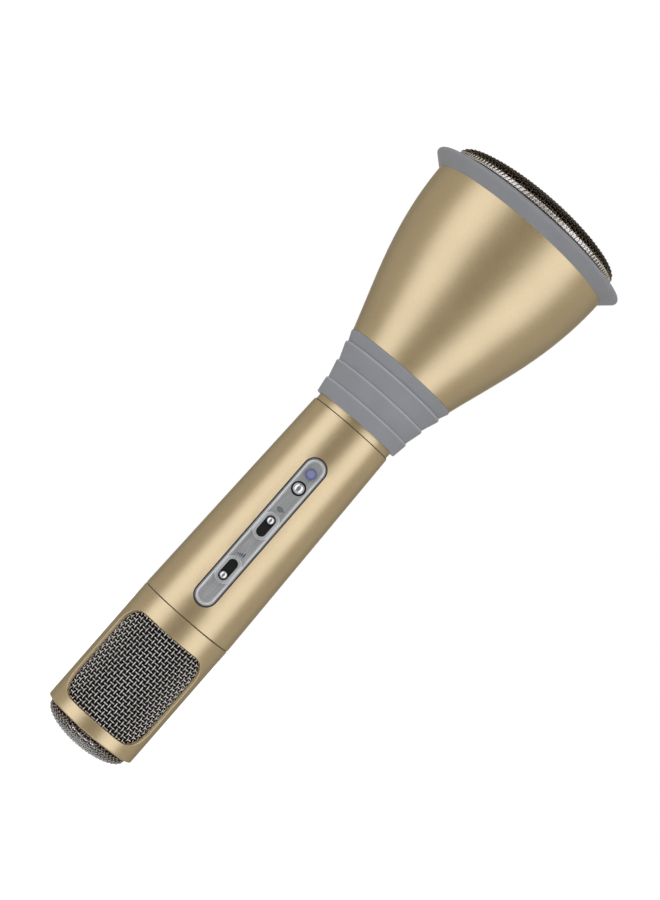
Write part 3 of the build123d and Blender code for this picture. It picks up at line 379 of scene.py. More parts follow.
def make_gold():
    """Champagne anodised metal with the fine grain of a blasted surface."""
    made, tree, shader, place = material("gold_satin")
    fine = grain(tree, place, 2600, 2.0)
    broad = grain(tree, place, 60, 2.0)
    base = two_tone(tree, broad, (0.76, 0.575, 0.285), (0.81, 0.615, 0.310))
    specks = two_tone(tree, fine, (0.86, 0.85, 0.83), (1, 1, 1))
    tree.links.new(mixed(tree, 1.0, base, specks, blend="MULTIPLY"), shader.inputs["Base Color"])
    tree.links.new(remap(tree, fine, 0.34, 0.46), shader.inputs["Roughness"])
    shader.inputs["Metallic"].default_value = 1.0
    shader.inputs["Coat Weight"].default_value = 1.0
    shader.inputs["Coat IOR"].default_value = 2.0
    shader.inputs["Coat Roughness"].default_value = 0.36
    bump(tree, shader, fine, 0.35, 0.00002)
    return made


def make_wire(name, dip_shade_tone, crown_highlight_tone, foot_tone=None, foot_low=0.0, foot_high=1.0):
    """Woven wire with painted light: a painted highlight where it stands out and painted shade where it dips.

    With a foot tone, it takes that tone below foot_low and loses it by foot_high.
    """
    made, tree, shader, place = material(name)
    crown = tree.nodes.new("ShaderNodeAttribute")
    crown.attribute_name = "crown"
    stands = crown.outputs["Fac"]
    # Painted light: colour follows how far each point stands out, dark in the dips and bright on the crowns.
    colour = two_tone(tree, stands, dip_shade_tone, crown_highlight_tone, 0.38, 0.92)
    if foot_tone:
        share = remap(tree, height_of(tree, place), 1.0, 0.0, foot_low, foot_high)
        colour = mixed(tree, share, colour, two_tone(tree, stands, dip_shade_tone, foot_tone, 0.25, 0.7))
    tree.links.new(colour, shader.inputs["Base Color"])
    fine = grain(tree, place, 1400)
    tree.links.new(remap(tree, fine, 0.22, 0.38), shader.inputs["Roughness"])
    shader.inputs["Metallic"].default_value = 1.0
    bump(tree, shader, fine, 0.3, 0.00001)
    return made


def strip_height(tree, place):
    """How far a point stands out of the control strip's plane, in metres."""
    offset = vector_math(tree, "SUBTRACT", place, touch)
    return vector_math(tree, "DOT_PRODUCT", offset, outwards, "Value")


def strip_distance(tree, place):
    """How far a point is from the plate's long middle line, in metres, as seen from the front."""
    mapping = tree.nodes.new("ShaderNodeMapping")
    mapping.inputs["Location"].default_value = (0, 0, -PANEL_Z)
    mapping.inputs["Scale"].default_value = (1, 0, 1)
    tree.links.new(place, mapping.inputs["Vector"])
    parts = tree.nodes.new("ShaderNodeSeparateXYZ")
    tree.links.new(mapping.outputs["Vector"], parts.inputs["Vector"])
    size = number_math(tree, "ABSOLUTE", parts.outputs["Z"])
    past = number_math(tree, "SUBTRACT", size, PANEL_HALF_LENGTH - PANEL_HALF_WIDTH, clamp=True)
    joined = tree.nodes.new("ShaderNodeCombineXYZ")
    tree.links.new(parts.outputs["X"], joined.inputs["X"])
    tree.links.new(past, joined.inputs["Y"])
    return vector_math(tree, "LENGTH", joined.outputs["Vector"], output="Value")


def make_chrome():
    """Mirror plating with painted shade: it is painted dull and dark down in the gap round a knob or button.
    """
    made, tree, shader, place = material("chrome")
    fine = grain(tree, place, 700)
    unshaded_share = remap(tree, strip_height(tree, place), 0.0, 1.0, *CHROME_SHADE_ENDS)
    # Painted shade: the plating's colour down in the gap round a knob or button.
    dark = two_tone(tree, fine, (0.035, 0.032, 0.030), (0.06, 0.055, 0.05))
    bright = two_tone(tree, fine, (0.80, 0.81, 0.83), (0.86, 0.87, 0.89))
    tree.links.new(mixed(tree, unshaded_share, dark, bright), shader.inputs["Base Color"])
    tree.links.new(remap(tree, fine, 0.10, 0.15), shader.inputs["Roughness"])
    shader.inputs["Metallic"].default_value = 1.0
    bump(tree, shader, fine, 0.1, 0.000004)
    return made


def make_brushed():
    """Plate with a dished floor brushed along the handle, a bright satin border whose lighter colour is
    partly a painted highlight, and an outer edge painted dark as painted shade.
    """
    made, tree, shader, place = material("brushed_plate")
    lines = grain(tree, place, 4200, stretch=(1, 1, 0.02))
    distance = strip_distance(tree, place)
    collars = remap(tree, strip_height(tree, place), 0.0, COLLAR_HIGHLIGHT_SHARE, *COLLAR_RISES)
    ring = remap(tree, distance, 0.0, 1.0, *BORDER_HIGHLIGHT_STARTS)
    border = number_math(tree, "MAXIMUM", collars, ring)
    floor_tone = two_tone(tree, lines, (0.50, 0.52, 0.52), (0.68, 0.70, 0.70))
    # Painted highlight: the border is painted lighter than the floor.
    border_painted_highlight = two_tone(tree, lines, (0.90, 0.90, 0.89), (0.97, 0.97, 0.96))
    # Painted shade and painted reflection: the plate's outer edge is painted dark.
    edge_painted_shade = two_tone(tree, lines, (0.27, 0.27, 0.26), (0.33, 0.33, 0.32))
    edge = remap(tree, distance, 0.0, 1.0, *EDGE_SHADE_STARTS)
    colour = mixed(tree, edge, mixed(tree, border, floor_tone, border_painted_highlight), edge_painted_shade)
    tree.links.new(colour, shader.inputs["Base Color"])
    floor_rough, border_rough = remap(tree, lines, 0.36, 0.52), remap(tree, lines, 0.38, 0.46)
    tree.links.new(mixed(tree, border, floor_rough, border_rough, "FLOAT"), shader.inputs["Roughness"])
    shader.inputs["Metallic"].default_value = 0.8
    bump(tree, shader, mixed(tree, border, lines, 0.5, "FLOAT"), 0.2, 0.00001)
    return made


def make_lens():
    """Blue lens with a lighter middle and a darker edge, a little lit from below."""
    made, tree, shader, place = material("blue_lens")
    low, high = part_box("status_lens")
    centre = (low + high) / 2
    offset = vector_math(tree, "SUBTRACT", place, (centre.x, low.y, centre.z))
    distance = vector_math(tree, "LENGTH", offset, output="Value")
    value = remap(tree, distance, 0, 1, 0.0, 0.0022)
    colour = two_tone(tree, value, (0.27, 0.28, 0.42), (0.09, 0.09, 0.24), 0.50, 0.85)
    tree.links.new(colour, shader.inputs["Base Color"])
    fine = grain(tree, place, 1800, 2.0)
    tree.links.new(remap(tree, fine, 0.12, 0.2), shader.inputs["Roughness"])
    shader.inputs["Coat Weight"].default_value = 0.6
    shader.inputs["Emission Color"].default_value = (0.14, 0.16, 0.45, 1)
    shader.inputs["Emission Strength"].default_value = 0.12
    bump(tree, shader, fine, 0.1, 0.00001)
    return made


def make_board():
    """Green solder mask over paler copper tracks."""
    made, tree, shader, place = material("circuit_board")
    tracks = tree.nodes.new("ShaderNodeTexVoronoi")
    tracks.distance = "MANHATTAN"
    tracks.feature = "DISTANCE_TO_EDGE"
    tracks.inputs["Scale"].default_value = 420
    tree.links.new(place, tracks.inputs["Vector"])
    distance = tracks.outputs["Distance"]
    colour = two_tone(tree, distance, (0.10, 0.26, 0.11), (0.015, 0.12, 0.05), 0.05, 0.09)
    tree.links.new(colour, shader.inputs["Base Color"])
    fine = grain(tree, place, 1500, 2.0)
    tree.links.new(remap(tree, fine, 0.28, 0.42), shader.inputs["Roughness"])
    bump(tree, shader, distance, 0.15, 0.00002)
    return made


def make_foam():
    """Open-cell foam: dark pores over charcoal."""
    made, tree, shader, place = material("open_cell_foam")
    cells = tree.nodes.new("ShaderNodeTexVoronoi")
    cells.inputs["Scale"].default_value = 1300
    tree.links.new(place, cells.inputs["Vector"])
    distance = cells.outputs["Distance"]
    colour = two_tone(tree, distance, (0.004, 0.004, 0.005), (0.030, 0.030, 0.032), 0.1, 0.6)
    tree.links.new(colour, shader.inputs["Base Color"])
    shader.inputs["Roughness"].default_value = 0.95
    bump(tree, shader, distance, 0.7, 0.0002)
    return made


def make_silicone():
    """Matt grey silicone with fine moulding grain, and a painted highlight: a paler line along the top edge
    of each band of the sleeve.
    """
    made, tree, shader, place = material("grey_silicone")
    fine = grain(tree, place, 1900)
    broad = grain(tree, place, 55)
    low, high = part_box("neck_sleeve")
    tall = high.z - low.z
    edges = tree.nodes.new("ShaderNodeValToRGB")
    tree.links.new(remap(tree, height_of(tree, place), 0.0, 1.0, low.z, high.z), edges.inputs["Fac"])
    ramp = edges.color_ramp
    for top in SLEEVE_EDGES:
        for below, pale in EDGE_HIGHLIGHT:
            ramp.elements.new(((top - below) * MM - low.z) / tall).color = (pale, pale, pale, 1)
    ramp.elements[0].color = ramp.elements[-1].color = (0, 0, 0, 1)
    moulded = two_tone(tree, broad, (0.325, 0.330, 0.334), (0.365, 0.370, 0.375))
    # Painted highlight: the paler tone along the band edges.
    edge_highlight_tone = two_tone(tree, broad, (0.44, 0.45, 0.45), (0.50, 0.51, 0.51))
    tree.links.new(mixed(tree, edges.outputs["Color"], moulded, edge_highlight_tone), shader.inputs["Base Color"])
    tree.links.new(remap(tree, fine, 0.50, 0.66), shader.inputs["Roughness"])
    shader.inputs["Specular IOR Level"].default_value = 0.45
    bump(tree, shader, fine, 0.25, 0.00002)
    return made


GOLD, BRUSHED, CHROME, LENS, BOARD, FOAM, SILICONE = (
    make_gold(), make_brushed(), make_chrome(), make_lens(), make_board(), make_foam(), make_silicone()
)
# For each woven wire: first the painted shade in the dips, then the painted highlight on the crowns.
SILVER_WIRE = make_wire("silver_wire", (0.022, 0.021, 0.019), (0.90, 0.86, 0.79))
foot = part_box("end_mesh")[0].z
DOME_WIRE_TONE = make_wire(
    "dome_wire", (0.030, 0.024, 0.020), (0.42, 0.34, 0.27),
    foot_tone=(0.80, 0.79, 0.77), foot_low=foot + 0.0015, foot_high=foot + 0.0065,
)
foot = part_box("speaker_grille")[0].z
BRONZE_WIRE = make_wire(
    "bronze_wire", (0.010, 0.008, 0.006), (0.085, 0.062, 0.042),
    foot_tone=(0.26, 0.20, 0.14), foot_low=foot + 0.0016, foot_high=foot + 0.0034,
)
HOOP = dict(metallic=1.0, scale=1400, relief=0.00001, strength=0.3, spread=0.10)
BAND = dict(metallic=1.0, scale=1400, relief=0.00001, strength=0.2, spread=0.05)
METAL = dict(metallic=1.0)
SILVER_HOOP = plain("silver_hoop", (0.30, 0.29, 0.28), (0.42, 0.41, 0.40), 0.35, **HOOP)
BRONZE_HOOP = plain("bronze_hoop", (0.10, 0.075, 0.05), (0.16, 0.12, 0.08), 0.35, **HOOP)
ROPE_WIRE = plain("rope_wire", (0.86, 0.80, 0.70), (0.97, 0.93, 0.85), 0.24, **BAND)
BAND_METAL = plain("band_metal", (0.74, 0.68, 0.60), (0.86, 0.80, 0.72), 0.26, **BAND)
BLACK = plain("black_plastic", (0.012, 0.012, 0.013), (0.022, 0.022, 0.024), 0.42, scale=1500)
CHARCOAL = plain("charcoal_plastic", (0.030, 0.030, 0.032), (0.050, 0.050, 0.053), 0.5, scale=1200)
RUBBER = plain(
    "black_rubber", (0.014, 0.014, 0.015), (0.028, 0.028, 0.029), 0.7,
    scale=1100, relief=0.00003, strength=0.35,
)
WRAP = plain("cell_wrap", (0.02, 0.12, 0.32), (0.03, 0.17, 0.42), 0.25, scale=500, strength=0.15, spread=0.05)
TIN = plain("tinned_metal", (0.55, 0.55, 0.55), (0.68, 0.68, 0.67), 0.32, **METAL)
STEEL = plain("zinc_steel", (0.48, 0.49, 0.50), (0.60, 0.61, 0.62), 0.35, scale=1300, **METAL)
POLE = plain("pole_steel", (0.42, 0.42, 0.40), (0.55, 0.54, 0.50), 0.38, scale=700, **METAL)
FERRITE = plain(
    "ferrite", (0.030, 0.030, 0.032), (0.055, 0.055, 0.057), 0.6, scale=1600, relief=0.00004, strength=0.5
)
PULP = plain(
    "cone_pulp", (0.012, 0.012, 0.012), (0.030, 0.029, 0.028), 0.75, scale=1500, relief=0.00006, strength=0.6
)
CLOTH = plain(
    "spider_cloth", (0.32, 0.20, 0.06), (0.46, 0.30, 0.10), 0.7, scale=2600, relief=0.00005, strength=0.6
)
COPPER = plain(
    "copper_winding", (0.45, 0.16, 0.06), (0.62, 0.24, 0.09), 0.3,
    scale=5000, relief=0.00005, strength=0.6, stretch=(0.02, 0.02, 1), **METAL,
)
CAN = plain("capsule_can", (0.62, 0.62, 0.62), (0.74, 0.74, 0.74), 0.25, scale=1200, **METAL)
RED = plain("red_lead", (0.38, 0.010, 0.008), (0.50, 0.018, 0.014), 0.35)
DARK = plain("black_lead", (0.012, 0.012, 0.012), (0.024, 0.024, 0.024), 0.35)
GREY = plain("grey_lead", (0.09, 0.09, 0.095), (0.13, 0.13, 0.135), 0.4)
INK = plain("printed_ink", (0.030, 0.032, 0.036), (0.060, 0.062, 0.068), 0.5, scale=2500)

FINISHES = {
    "gold_shell": GOLD, "wire_mesh": SILVER_WIRE, "bronze_mesh": BRONZE_WIRE, "silicone": SILICONE,
    "bright_plate": BRUSHED, "chrome": CHROME, "blue_lens": LENS, "black_plastic": BLACK,
    "frame_plastic": CHARCOAL, "foam": FOAM, "cell_wrap": WRAP, "board": BOARD, "tin": TIN,
    "screw_steel": STEEL, "magnet": FERRITE, "pole_steel": POLE, "paper": PULP, "spider_cloth": CLOTH,
    "coil_copper": COPPER, "soft_rubber": RUBBER, "lead_red": RED, "lead_black": DARK, "lead_grey": GREY,
    "capsule_metal": CAN,
}
for entry in frame["record"]["subparts"]:
    target = NODES[entry["node"]].data
    target.materials.clear()
    target.materials.append(FINISHES[entry["material_slot"]])


def fit(obj, body, slot, finish, *replaced):
    """Gives a made piece its finish and its body, and hides the CAD nodes it stands for."""
    obj.data.materials.append(finish)
    if body:
        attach(obj, body)
    if replaced:
        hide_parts(*replaced)
    return obj


# ------------------------------------------------------------------ woven wire in the head's windows
low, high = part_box("side_mesh")
WINDOW_WIRE, WINDOW_CRIMP = 0.00025, 0.00036  # the wire's radius, and how far it bends in and out
COLUMNS_ROUND, ROWS, ROW_MARGIN = 70, 25, 0.0005  # columns round the whole head, rows up the window
WINDOW_HALF_TURN = math.radians(72)
sheet_r = high.x - WINDOW_WIRE - WINDOW_CRIMP
round_pitch = 2 * math.pi * sheet_r / COLUMNS_ROUND
row_pitch = (high.z - low.z - 2 * ROW_MARGIN) / ROWS
middle_z = (low.z + high.z) / 2


def head_surface(facing):
    """The cylinder behind one window: u is arc length from the window's middle, v is height."""
    def at(u, v):
        turn = u / sheet_r + facing
        normals = np.stack([np.cos(turn), np.sin(turn), np.zeros_like(turn)], axis=-1)
        points = normals * sheet_r
        points[:, 2] = v + middle_z
        return points, normals
    return at


half_arc = WINDOW_HALF_TURN * sheet_r
half_rows = (high.z - low.z) / 2 - ROW_MARGIN
window_wires = []
for facing in (-math.pi / 2, math.pi / 2):
    window_wires += weave(
        head_surface(facing), round_pitch, row_pitch, WINDOW_CRIMP,
        (-half_arc, half_arc), (-half_rows, half_rows),
    )
fit(tubes("window_weave", window_wires, WINDOW_WIRE), "housing", "wire_mesh", SILVER_WIRE, "side_mesh")

# ------------------------------------------------------------------ woven dome at the head's end
dome_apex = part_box("end_mesh")[0].z / MM
shell_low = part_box("mic_head_shell")[0].z / MM
CLOTH_PITCH = 0.00145
DOME_R, DOME_WIRE, DOME_CRIMP = 17.05, 0.00024, 0.00030
DOME_SINK = 0.54  # of the cloth's middle surface under the dome's outside, in millimetres
DOME_FOOT_DROP, DOME_SKIRT = 0.9, 1.2
END_HOOP = ((1.3, 1.9), (1.3, 0.35), (1.15, 0.2), (0.15, 0.2), (0, 0.35), (0, 1.9))


def round_cloth(surface, reach, crimp, **more):
    """Plain weave in a round piece of cloth, as wires for tubes()."""
    return weave(
        surface, CLOTH_PITCH, CLOTH_PITCH, crimp, (-reach, reach), (-reach, reach),
        inside=lambda k: math.sqrt(max(0, reach**2 - k**2)), **more,
    )


dome_foot = shell_low - DOME_FOOT_DROP
turns = np.linspace(0, math.pi / 2, 80)
dome_r = (DOME_R - DOME_SINK) * np.sin(turns)
dome_z = dome_foot - (dome_foot - dome_apex - DOME_SINK) * np.cos(turns)
dome_r = np.append(dome_r, [DOME_R - DOME_SINK, DOME_R - DOME_SINK])
dome_z = np.append(dome_z, [shell_low, shell_low + DOME_SKIRT])
dome_wires = round_cloth(*dome_surface(dome_r, dome_z, -1), DOME_CRIMP)
fit(tubes("end_weave", dome_wires, DOME_WIRE), "housing", "wire_mesh", DOME_WIRE_TONE, "end_mesh")
hoop = [(DOME_R - inset, shell_low + above) for inset, above in END_HOOP]
fit(lathe("end_hoop", hoop), "housing", "wire_mesh", SILVER_HOOP)

# ------------------------------------------------------------------ woven dome over the loudspeaker
low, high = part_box("speaker_grille")
GRILLE_WIRE, GRILLE_CRIMP = 0.00025, 0.00030
GRILLE_SINK, GRILLE_FOOT = 0.55, 1.6
# The dome's section: radii, and how far each lies below the apex.
GRILLE_RADII = (0, 6, 12, 18, 24, 28, 31, 33, 34.2, 34.9, 35.2)
GRILLE_DROPS = (0, 0.12, 0.5, 1.18, 2.15, 3.0, 3.85, 4.6, 5.3, 6.0, 6.8)
GRILLE_HOOP = ((2.0, 0), (0.5, 0), (0.4, 0.15), (0.7, 0.3), (1.9, 0.3))
SMOOTHING, PASSES, KEPT_ENDS = 9, 3, 4
grille_edge, grille_low = high.x / MM, low.z / MM
grille_apex = high.z / MM - GRILLE_SINK
stations = np.arange(len(GRILLE_RADII))
fine_t = np.linspace(0, len(GRILLE_RADII) - 1, 120)
grille_r = np.interp(fine_t, stations, GRILLE_RADII)
grille_z = grille_apex - np.interp(fine_t, stations, GRILLE_DROPS)
kernel = np.ones(SMOOTHING) / SMOOTHING
inner = slice(KEPT_ENDS, -KEPT_ENDS)
for _ in range(PASSES):
    grille_r[inner] = np.convolve(grille_r, kernel, "same")[inner]
    grille_z[inner] = np.convolve(grille_z, kernel, "same")[inner]
grille_r = np.append(grille_r, [GRILLE_RADII[-1]])
grille_z = np.append(grille_z, [grille_low + GRILLE_FOOT])
grille_wires = round_cloth(*dome_surface(grille_r, grille_z, 1), GRILLE_CRIMP, per_pitch=6)
fit(tubes("grille_weave", grille_wires, GRILLE_WIRE), "housing", "bronze_mesh", BRONZE_WIRE, "speaker_grille")
hoop = [(grille_edge - inset, grille_low + above) for inset, above in GRILLE_HOOP]
fit(lathe("grille_hoop", hoop, 256), "housing", "bronze_mesh", BRONZE_HOOP)

# The bright lattice round the grille's foot: flat wires that lean one way, then the other, over a plain ring.
BAND_LOW, BAND_TALL, BAND_R = grille_low + 0.2, 1.75, grille_edge - 0.40
BAND_WIRES, BAND_LEAN, BAND_WIRE, BAND_FLAT = 130, 1.0, 0.00036, 0.3
BAND_LAYER = 0.10  # how far each set of wires stands in or out of the band's radius
BACKING_INSIDE, BACKING_OUTSIDE = BAND_R - 0.6, BAND_R - 0.22
band_wires = []
rise = np.linspace(0, 1, 6)
for lean in (-1, 1):
    for i in range(BAND_WIRES):
        turn = 2 * math.pi * i / BAND_WIRES + lean * (rise - 0.5) * BAND_LEAN / BAND_R
        normals = np.stack([np.cos(turn), np.sin(turn), np.zeros_like(turn)], axis=-1)
        points = normals * (BAND_R + BAND_LAYER * lean) * MM
        points[:, 2] = (BAND_LOW + BAND_TALL * rise) * MM
        band_wires.append((points, normals, rise))
fit(tubes("grille_rope", band_wires, BAND_WIRE, BAND_FLAT), "housing", "bronze_mesh", ROPE_WIRE)
backing = [
    (BACKING_INSIDE, BAND_LOW), (BACKING_OUTSIDE, BAND_LOW),
    (BACKING_OUTSIDE, BAND_LOW + BAND_TALL), (BACKING_INSIDE, BAND_LOW + BAND_TALL),
]
fit(lathe("grille_band", backing, 256), "housing", "bronze_mesh", BAND_METAL)

# ------------------------------------------------------------------ seal in the seam between handle and horn
SEAM_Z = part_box("handle_tube")[1].z / MM + 0.15
SEAM_R, SEAM_HALF_TALL = 16.12, 0.12
SEAM_SECTION = ((0, -1), (0.6, -1), (0.68, 0), (0.6, 1), (0, 1))
seal = [(SEAM_R + out, SEAM_Z + level * SEAM_HALF_TALL) for out, level in SEAM_SECTION]
fit(lathe("seam_ring", seal), "housing", "soft_rubber", RUBBER)

# ------------------------------------------------------------------ foam behind the windows
low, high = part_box("head_foam")
FOAM_GAP, FOAM_BORE_R, FOAM_LIP_R, FOAM_FLOOR = 0.3, 12.6, 14.6, 5.5
FOAM_FINE, FOAM_UNEVEN = 900, 0.012  # the scale of its lumps, and their height as a share of the size
foam_r, foam_low, foam_high = high.x / MM - FOAM_GAP, low.z / MM + FOAM_GAP, high.z / MM
outline = [
    (FOAM_GAP, foam_low + FOAM_FLOOR), (FOAM_BORE_R, foam_low + FOAM_FLOOR),
    (FOAM_BORE_R, foam_high), (FOAM_LIP_R, foam_high),
]
outline += [(foam_r, z) for z in np.linspace(foam_high - 0.6, foam_low + 2.8, 110)]
outline += [(foam_r - 0.8, foam_low + 1.2), (foam_r - 2.4, foam_low)]
outline += [(r, foam_low) for r in np.linspace(12, FOAM_GAP, 24)]
foam = lathe("pop_foam", outline, 220, smooth_angle=180)
for vertex in foam.data.vertices:
    at = vertex.co
    in_bore = at.xy.length < (FOAM_BORE_R + 0.1) * MM and at.z > (foam_low + 3) * MM
    on_axis = at.xy.length <= 0.001
    if not in_bore and not on_axis:
        vertex.co = at * (1 + FOAM_UNEVEN * noise.noise(at * FOAM_FINE))
fit(foam, "housing", "foam", FOAM, "head_foam")


# ------------------------------------------------------------------ marks beside the sliders
INK_LOW, INK_HIGH = 0.001, 0.05  # above the strip's floor


def mark(name, outlines):
    """Raised printed marks on the strip's floor, each outline a ring of (across, along) points."""
    verts, faces = [], []
    for ring in outlines:
        base, count = len(verts), len(ring)
        verts += [strip_point(x, y, STRIP_FLOOR + INK_LOW) for x, y in ring]
        verts += [strip_point(x, y, STRIP_FLOOR + INK_HIGH) for x, y in ring]
        for i in range(count):
            j = (i + 1) % count
            faces.append((base + i, base + j, base + count + j, base + count + i))
        faces.append(tuple(base + count + i for i in range(count)))
    return fit(add_mesh(name, verts, faces), "housing", "black_plastic", INK)


def arc_band(cx, cy, inner, outer, start, stop, steps=10):
    """Outline of a bent bar round (cx, cy), between two radii and two angles in degrees."""
    angles = [math.radians(start + (stop - start) * i / steps) for i in range(steps + 1)]
    ring = [(cx + outer * math.cos(a), cy + outer * math.sin(a)) for a in angles]
    return ring + [(cx + inner * math.cos(a), cy + inner * math.sin(a)) for a in reversed(angles)]


ECHO_MARK_AT, VOLUME_MARK_AT = 9.3, -10.9
ARC_RADII, ARC_WIDTH, ARC_FROM, ARC_TO = (0.5, 1.1, 1.7), 0.28, 35, 145
BAR_FIRST, BAR_STEP, BAR_WIDTH, BAR_TALL, BAR_GROWS = -1.35, 0.75, 0.4, 0.5, 0.42
mark("echo_mark", [arc_band(0, ECHO_MARK_AT, r, r + ARC_WIDTH, ARC_FROM, ARC_TO) for r in ARC_RADII])
bars = []
for i in range(4):
    left, bottom = BAR_FIRST + BAR_STEP * i, VOLUME_MARK_AT
    right_side, top = left + BAR_WIDTH, bottom + (BAR_TALL + BAR_GROWS * i)
    bars.append([(left, bottom), (right_side, bottom), (right_side, top), (left, top)])
mark("volume_mark", bars)

# ------------------------------------------------------------------ gasket round the strip: dark rubber, its wide lip also standing in for the line of shade round the plate
# Its section: how far out of the plate's edge, and how far above the handle's surface.
GASKET_START, GASKET_END, GASKET_TALL = 0.03, 0.27, 0.9
LIP_END, LIP_PROUD, LIP_UNDER = 0.42, 0.05, 0.03
GASKET_SECTION = (
    (GASKET_START, LIP_PROUD), (LIP_END, LIP_PROUD), (LIP_END, -LIP_UNDER),
    (GASKET_END, -LIP_UNDER), (GASKET_END, -GASKET_TALL), (GASKET_START, -GASKET_TALL),
)
half_width, half_length = PANEL_HALF_WIDTH / MM, PANEL_HALF_LENGTH / MM
handle_r = -touch.y / MM
stations = [(1, math.radians(a)) for a in range(0, 181, 6)]
stations += [(-1, math.radians(a)) for a in range(180, 361, 6)]
verts, faces = [], []
for side, a in stations:
    for grow, proud in GASKET_SECTION:
        x = (half_width + grow) * math.cos(a)
        y = side * (half_length - half_width) + (half_width + grow) * math.sin(a)
        surface = math.sqrt(handle_r**2 - x**2) - handle_r
        verts.append(strip_point(x, y, surface + proud))
count = len(GASKET_SECTION)
for i in range(len(stations)):
    a, b = i * count, (i + 1) % len(stations) * count
    for k in range(count):
        faces.append((a + k, a + (k + 1) % count, b + (k + 1) % count, b + k))
fit(add_mesh("strip_gasket_shade_line", verts, faces), "housing", "soft_rubber", RUBBER)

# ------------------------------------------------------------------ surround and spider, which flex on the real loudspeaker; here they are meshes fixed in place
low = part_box("surround")[0]
seat_z = low.z / MM
ROLL_R, ROLL_MID_R, SKIN = 1.25, 26.8, 0.42
OUTER_FOOT_R, INNER_FOOT_R = 29.5, 24.5
for name, first, side in (("surround_outer", "housing", 1), ("surround_inner", "cone", -1)):
    foot = OUTER_FOOT_R if side > 0 else INNER_FOOT_R
    over, under = [], []
    for a in np.linspace(math.pi / 2, 0, 16):
        c, t = math.cos(a), (ROLL_R - SKIN) * math.sin(a)
        over.append((ROLL_MID_R + side * ROLL_R * c, seat_z + SKIN + t))
        under.append((ROLL_MID_R + side * (ROLL_R - SKIN) * c, seat_z + t))
    outline = over + [(foot, seat_z + SKIN), (foot, seat_z)] + under[::-1]
    piece = fit(lathe(name, outline, 128), None, "soft_rubber", RUBBER)
    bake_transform(piece)
    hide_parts("surround")

low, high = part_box("spider")
wave_mid = (low.z + high.z) / 2 / MM
SECTORS, SPIDER_HALF_THICK = 12, 0.15
SPIDER_INNER_R, SPIDER_OUTER_R = 8.45, 19.4
WAVE_FROM, WAVE_TO, WAVES, WAVE_HEIGHT = 9.4, 17.0, 4, 0.5
radii = np.linspace(SPIDER_INNER_R, SPIDER_OUTER_R, 70)
wave = np.sin((radii - WAVE_FROM) / (WAVE_TO - WAVE_FROM) * 2 * WAVES * math.pi) * WAVE_HEIGHT
bend = np.where((radii > WAVE_FROM) & (radii < WAVE_TO), wave, 0)
for sector in range(SECTORS):
    centre = 2 * math.pi * sector / SECTORS
    angles = np.linspace(centre - math.pi / SECTORS, centre + math.pi / SECTORS, 9)
    verts, faces = [], []
    for lift in (-SPIDER_HALF_THICK, SPIDER_HALF_THICK):
        for a in angles:
            verts += [(r * math.cos(a) * MM, r * math.sin(a) * MM, (wave_mid + b + lift) * MM)
                      for r, b in zip(radii, bend)]
    n, m = len(radii), len(angles)
    for i in range(m - 1):
        for k in range(n - 1):
            a, b, c, d = i * n + k, i * n + k + 1, (i + 1) * n + k + 1, (i + 1) * n + k
            faces.append((a, d, c, b))
            faces.append((a + m * n, b + m * n, c + m * n, d + m * n))
    piece = fit(add_mesh(f"spider_{sector:02d}", verts, faces, 180), None, "spider_cloth", CLOTH)
    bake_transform(piece)
    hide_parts("spider")

# ------------------------------------------------------------------ floor, light and world
# The part is held in the air, so the floor lies a metre below it; the camera sees it as white as the world.
FLOOR_DROP, FLOOR_RINGS, SPOKES = 1.0, (0.3, 0.8, 2.0, 6.0, 18.0), 48
floor_z = CAD_BOX[0].z - FLOOR_DROP
verts = [(0, 0, floor_z)]
for r in FLOOR_RINGS:
    verts += [(r * math.cos(2 * math.pi * i / SPOKES), r * math.sin(2 * math.pi * i / SPOKES), floor_z)
              for i in range(SPOKES)]
faces = [(0, 1 + i, 1 + (i + 1) % SPOKES) for i in range(SPOKES)]
for ring in range(len(FLOOR_RINGS) - 1):
    base = 1 + ring * SPOKES
    faces += [(base + i, base + SPOKES + i, base + SPOKES + (i + 1) % SPOKES, base + (i + 1) % SPOKES)
              for i in range(SPOKES)]
floor = add_mesh("floor", verts, faces)
made, tree, shader, place = material("pale_floor")
tone = grain(tree, place, 40, 2.0)
tree.links.new(two_tone(tree, tone, (0.90, 0.90, 0.90), (0.93, 0.93, 0.93)), shader.inputs["Base Color"])
shader.inputs["Roughness"].default_value = 0.8
shader.inputs["Emission Color"].default_value = (1, 1, 1, 1)
seen = tree.nodes.new("ShaderNodeLightPath")
glow = remap(tree, seen.outputs["Is Camera Ray"], 0.0, 1.1, 0.0, 1.0)
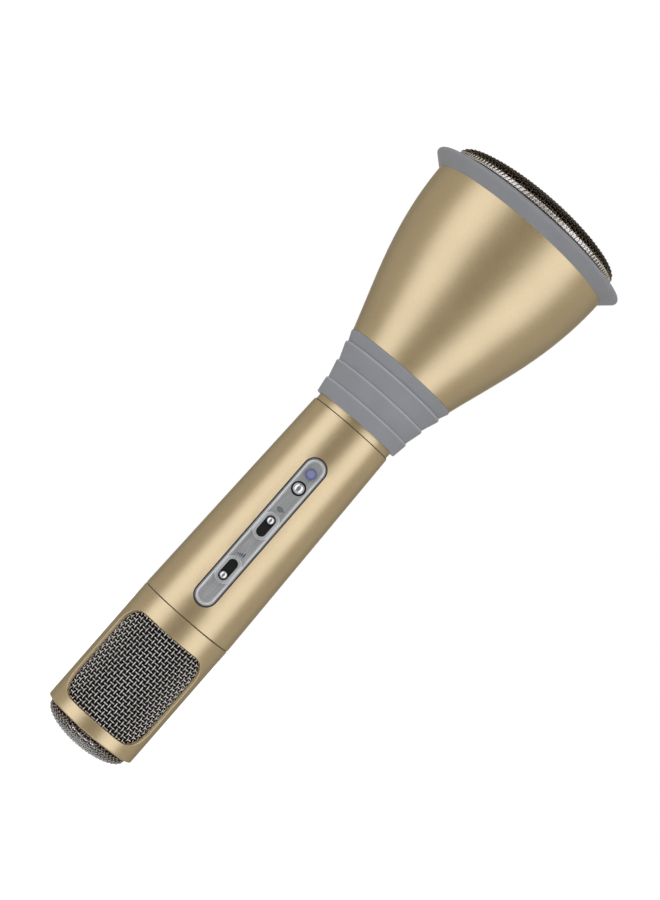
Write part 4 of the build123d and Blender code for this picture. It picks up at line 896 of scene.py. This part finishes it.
tree.links.new(glow, shader.inputs["Emission Strength"])
floor.data.materials.append(made)


def softbox(name, azimuth, width, power, colour=(1, 1, 1), height=0.3, distance=0.9, tall=2.6, aim=None):
    """Area light round the object. Azimuth 0 is in front of the strip, and grows towards +X."""
    data = bpy.data.lights.new(name, "AREA")
    data.shape = "RECTANGLE"
    data.size, data.size_y = width, tall
    data.energy, data.color = power, colour
    lamp = bpy.data.objects.new(name, data)
    bpy.context.scene.collection.objects.link(lamp)
    a = math.radians(azimuth)
    lamp.location = (distance * math.sin(a), -distance * math.cos(a), height)
    lamp.rotation_mode = "QUATERNION"
    target = Vector(aim) if aim else Vector((0, 0, height))
    lamp.rotation_quaternion = (target - lamp.location).to_track_quat("-Z", "Y")


COOL = (0.95, 1.0, 1.19)
softbox("left_strip", -53, 0.8, 6.7, COOL)
softbox("right_strip", 53, 0.8, 6.7, COOL)
softbox("left_side", -112, 0.7, 0.9)
softbox("right_side", 112, 0.7, 0.9)
softbox("back_soft", 180, 0.45, 3.4)
softbox("top_soft", 20, 0.8, 1.0, height=1.2, distance=0.7, tall=0.8, aim=(0, 0, 0.03))

world = bpy.data.worlds.new("studio")
world.use_nodes = True
bpy.context.scene.world = world
tree = world.node_tree
tree.nodes.clear()
path = tree.nodes.new("ShaderNodeLightPath")
seen = tree.nodes.new("ShaderNodeBackground")
seen.inputs["Color"].default_value = (1, 1, 1, 1)
seen.inputs["Strength"].default_value = 1.0
fill = tree.nodes.new("ShaderNodeBackground")
fill.inputs["Color"].default_value = (1.0, 0.94, 0.78, 1)
fill.inputs["Strength"].default_value = 0.25
mix = tree.nodes.new("ShaderNodeMixShader")
end = tree.nodes.new("ShaderNodeOutputWorld")
tree.links.new(path.outputs["Is Camera Ray"], mix.inputs["Fac"])
tree.links.new(fill.outputs["Background"], mix.inputs[1])
tree.links.new(seen.outputs["Background"], mix.inputs[2])
tree.links.new(mix.outputs["Shader"], end.inputs["Surface"])
bpy.context.scene.view_settings.view_transform = "Standard"
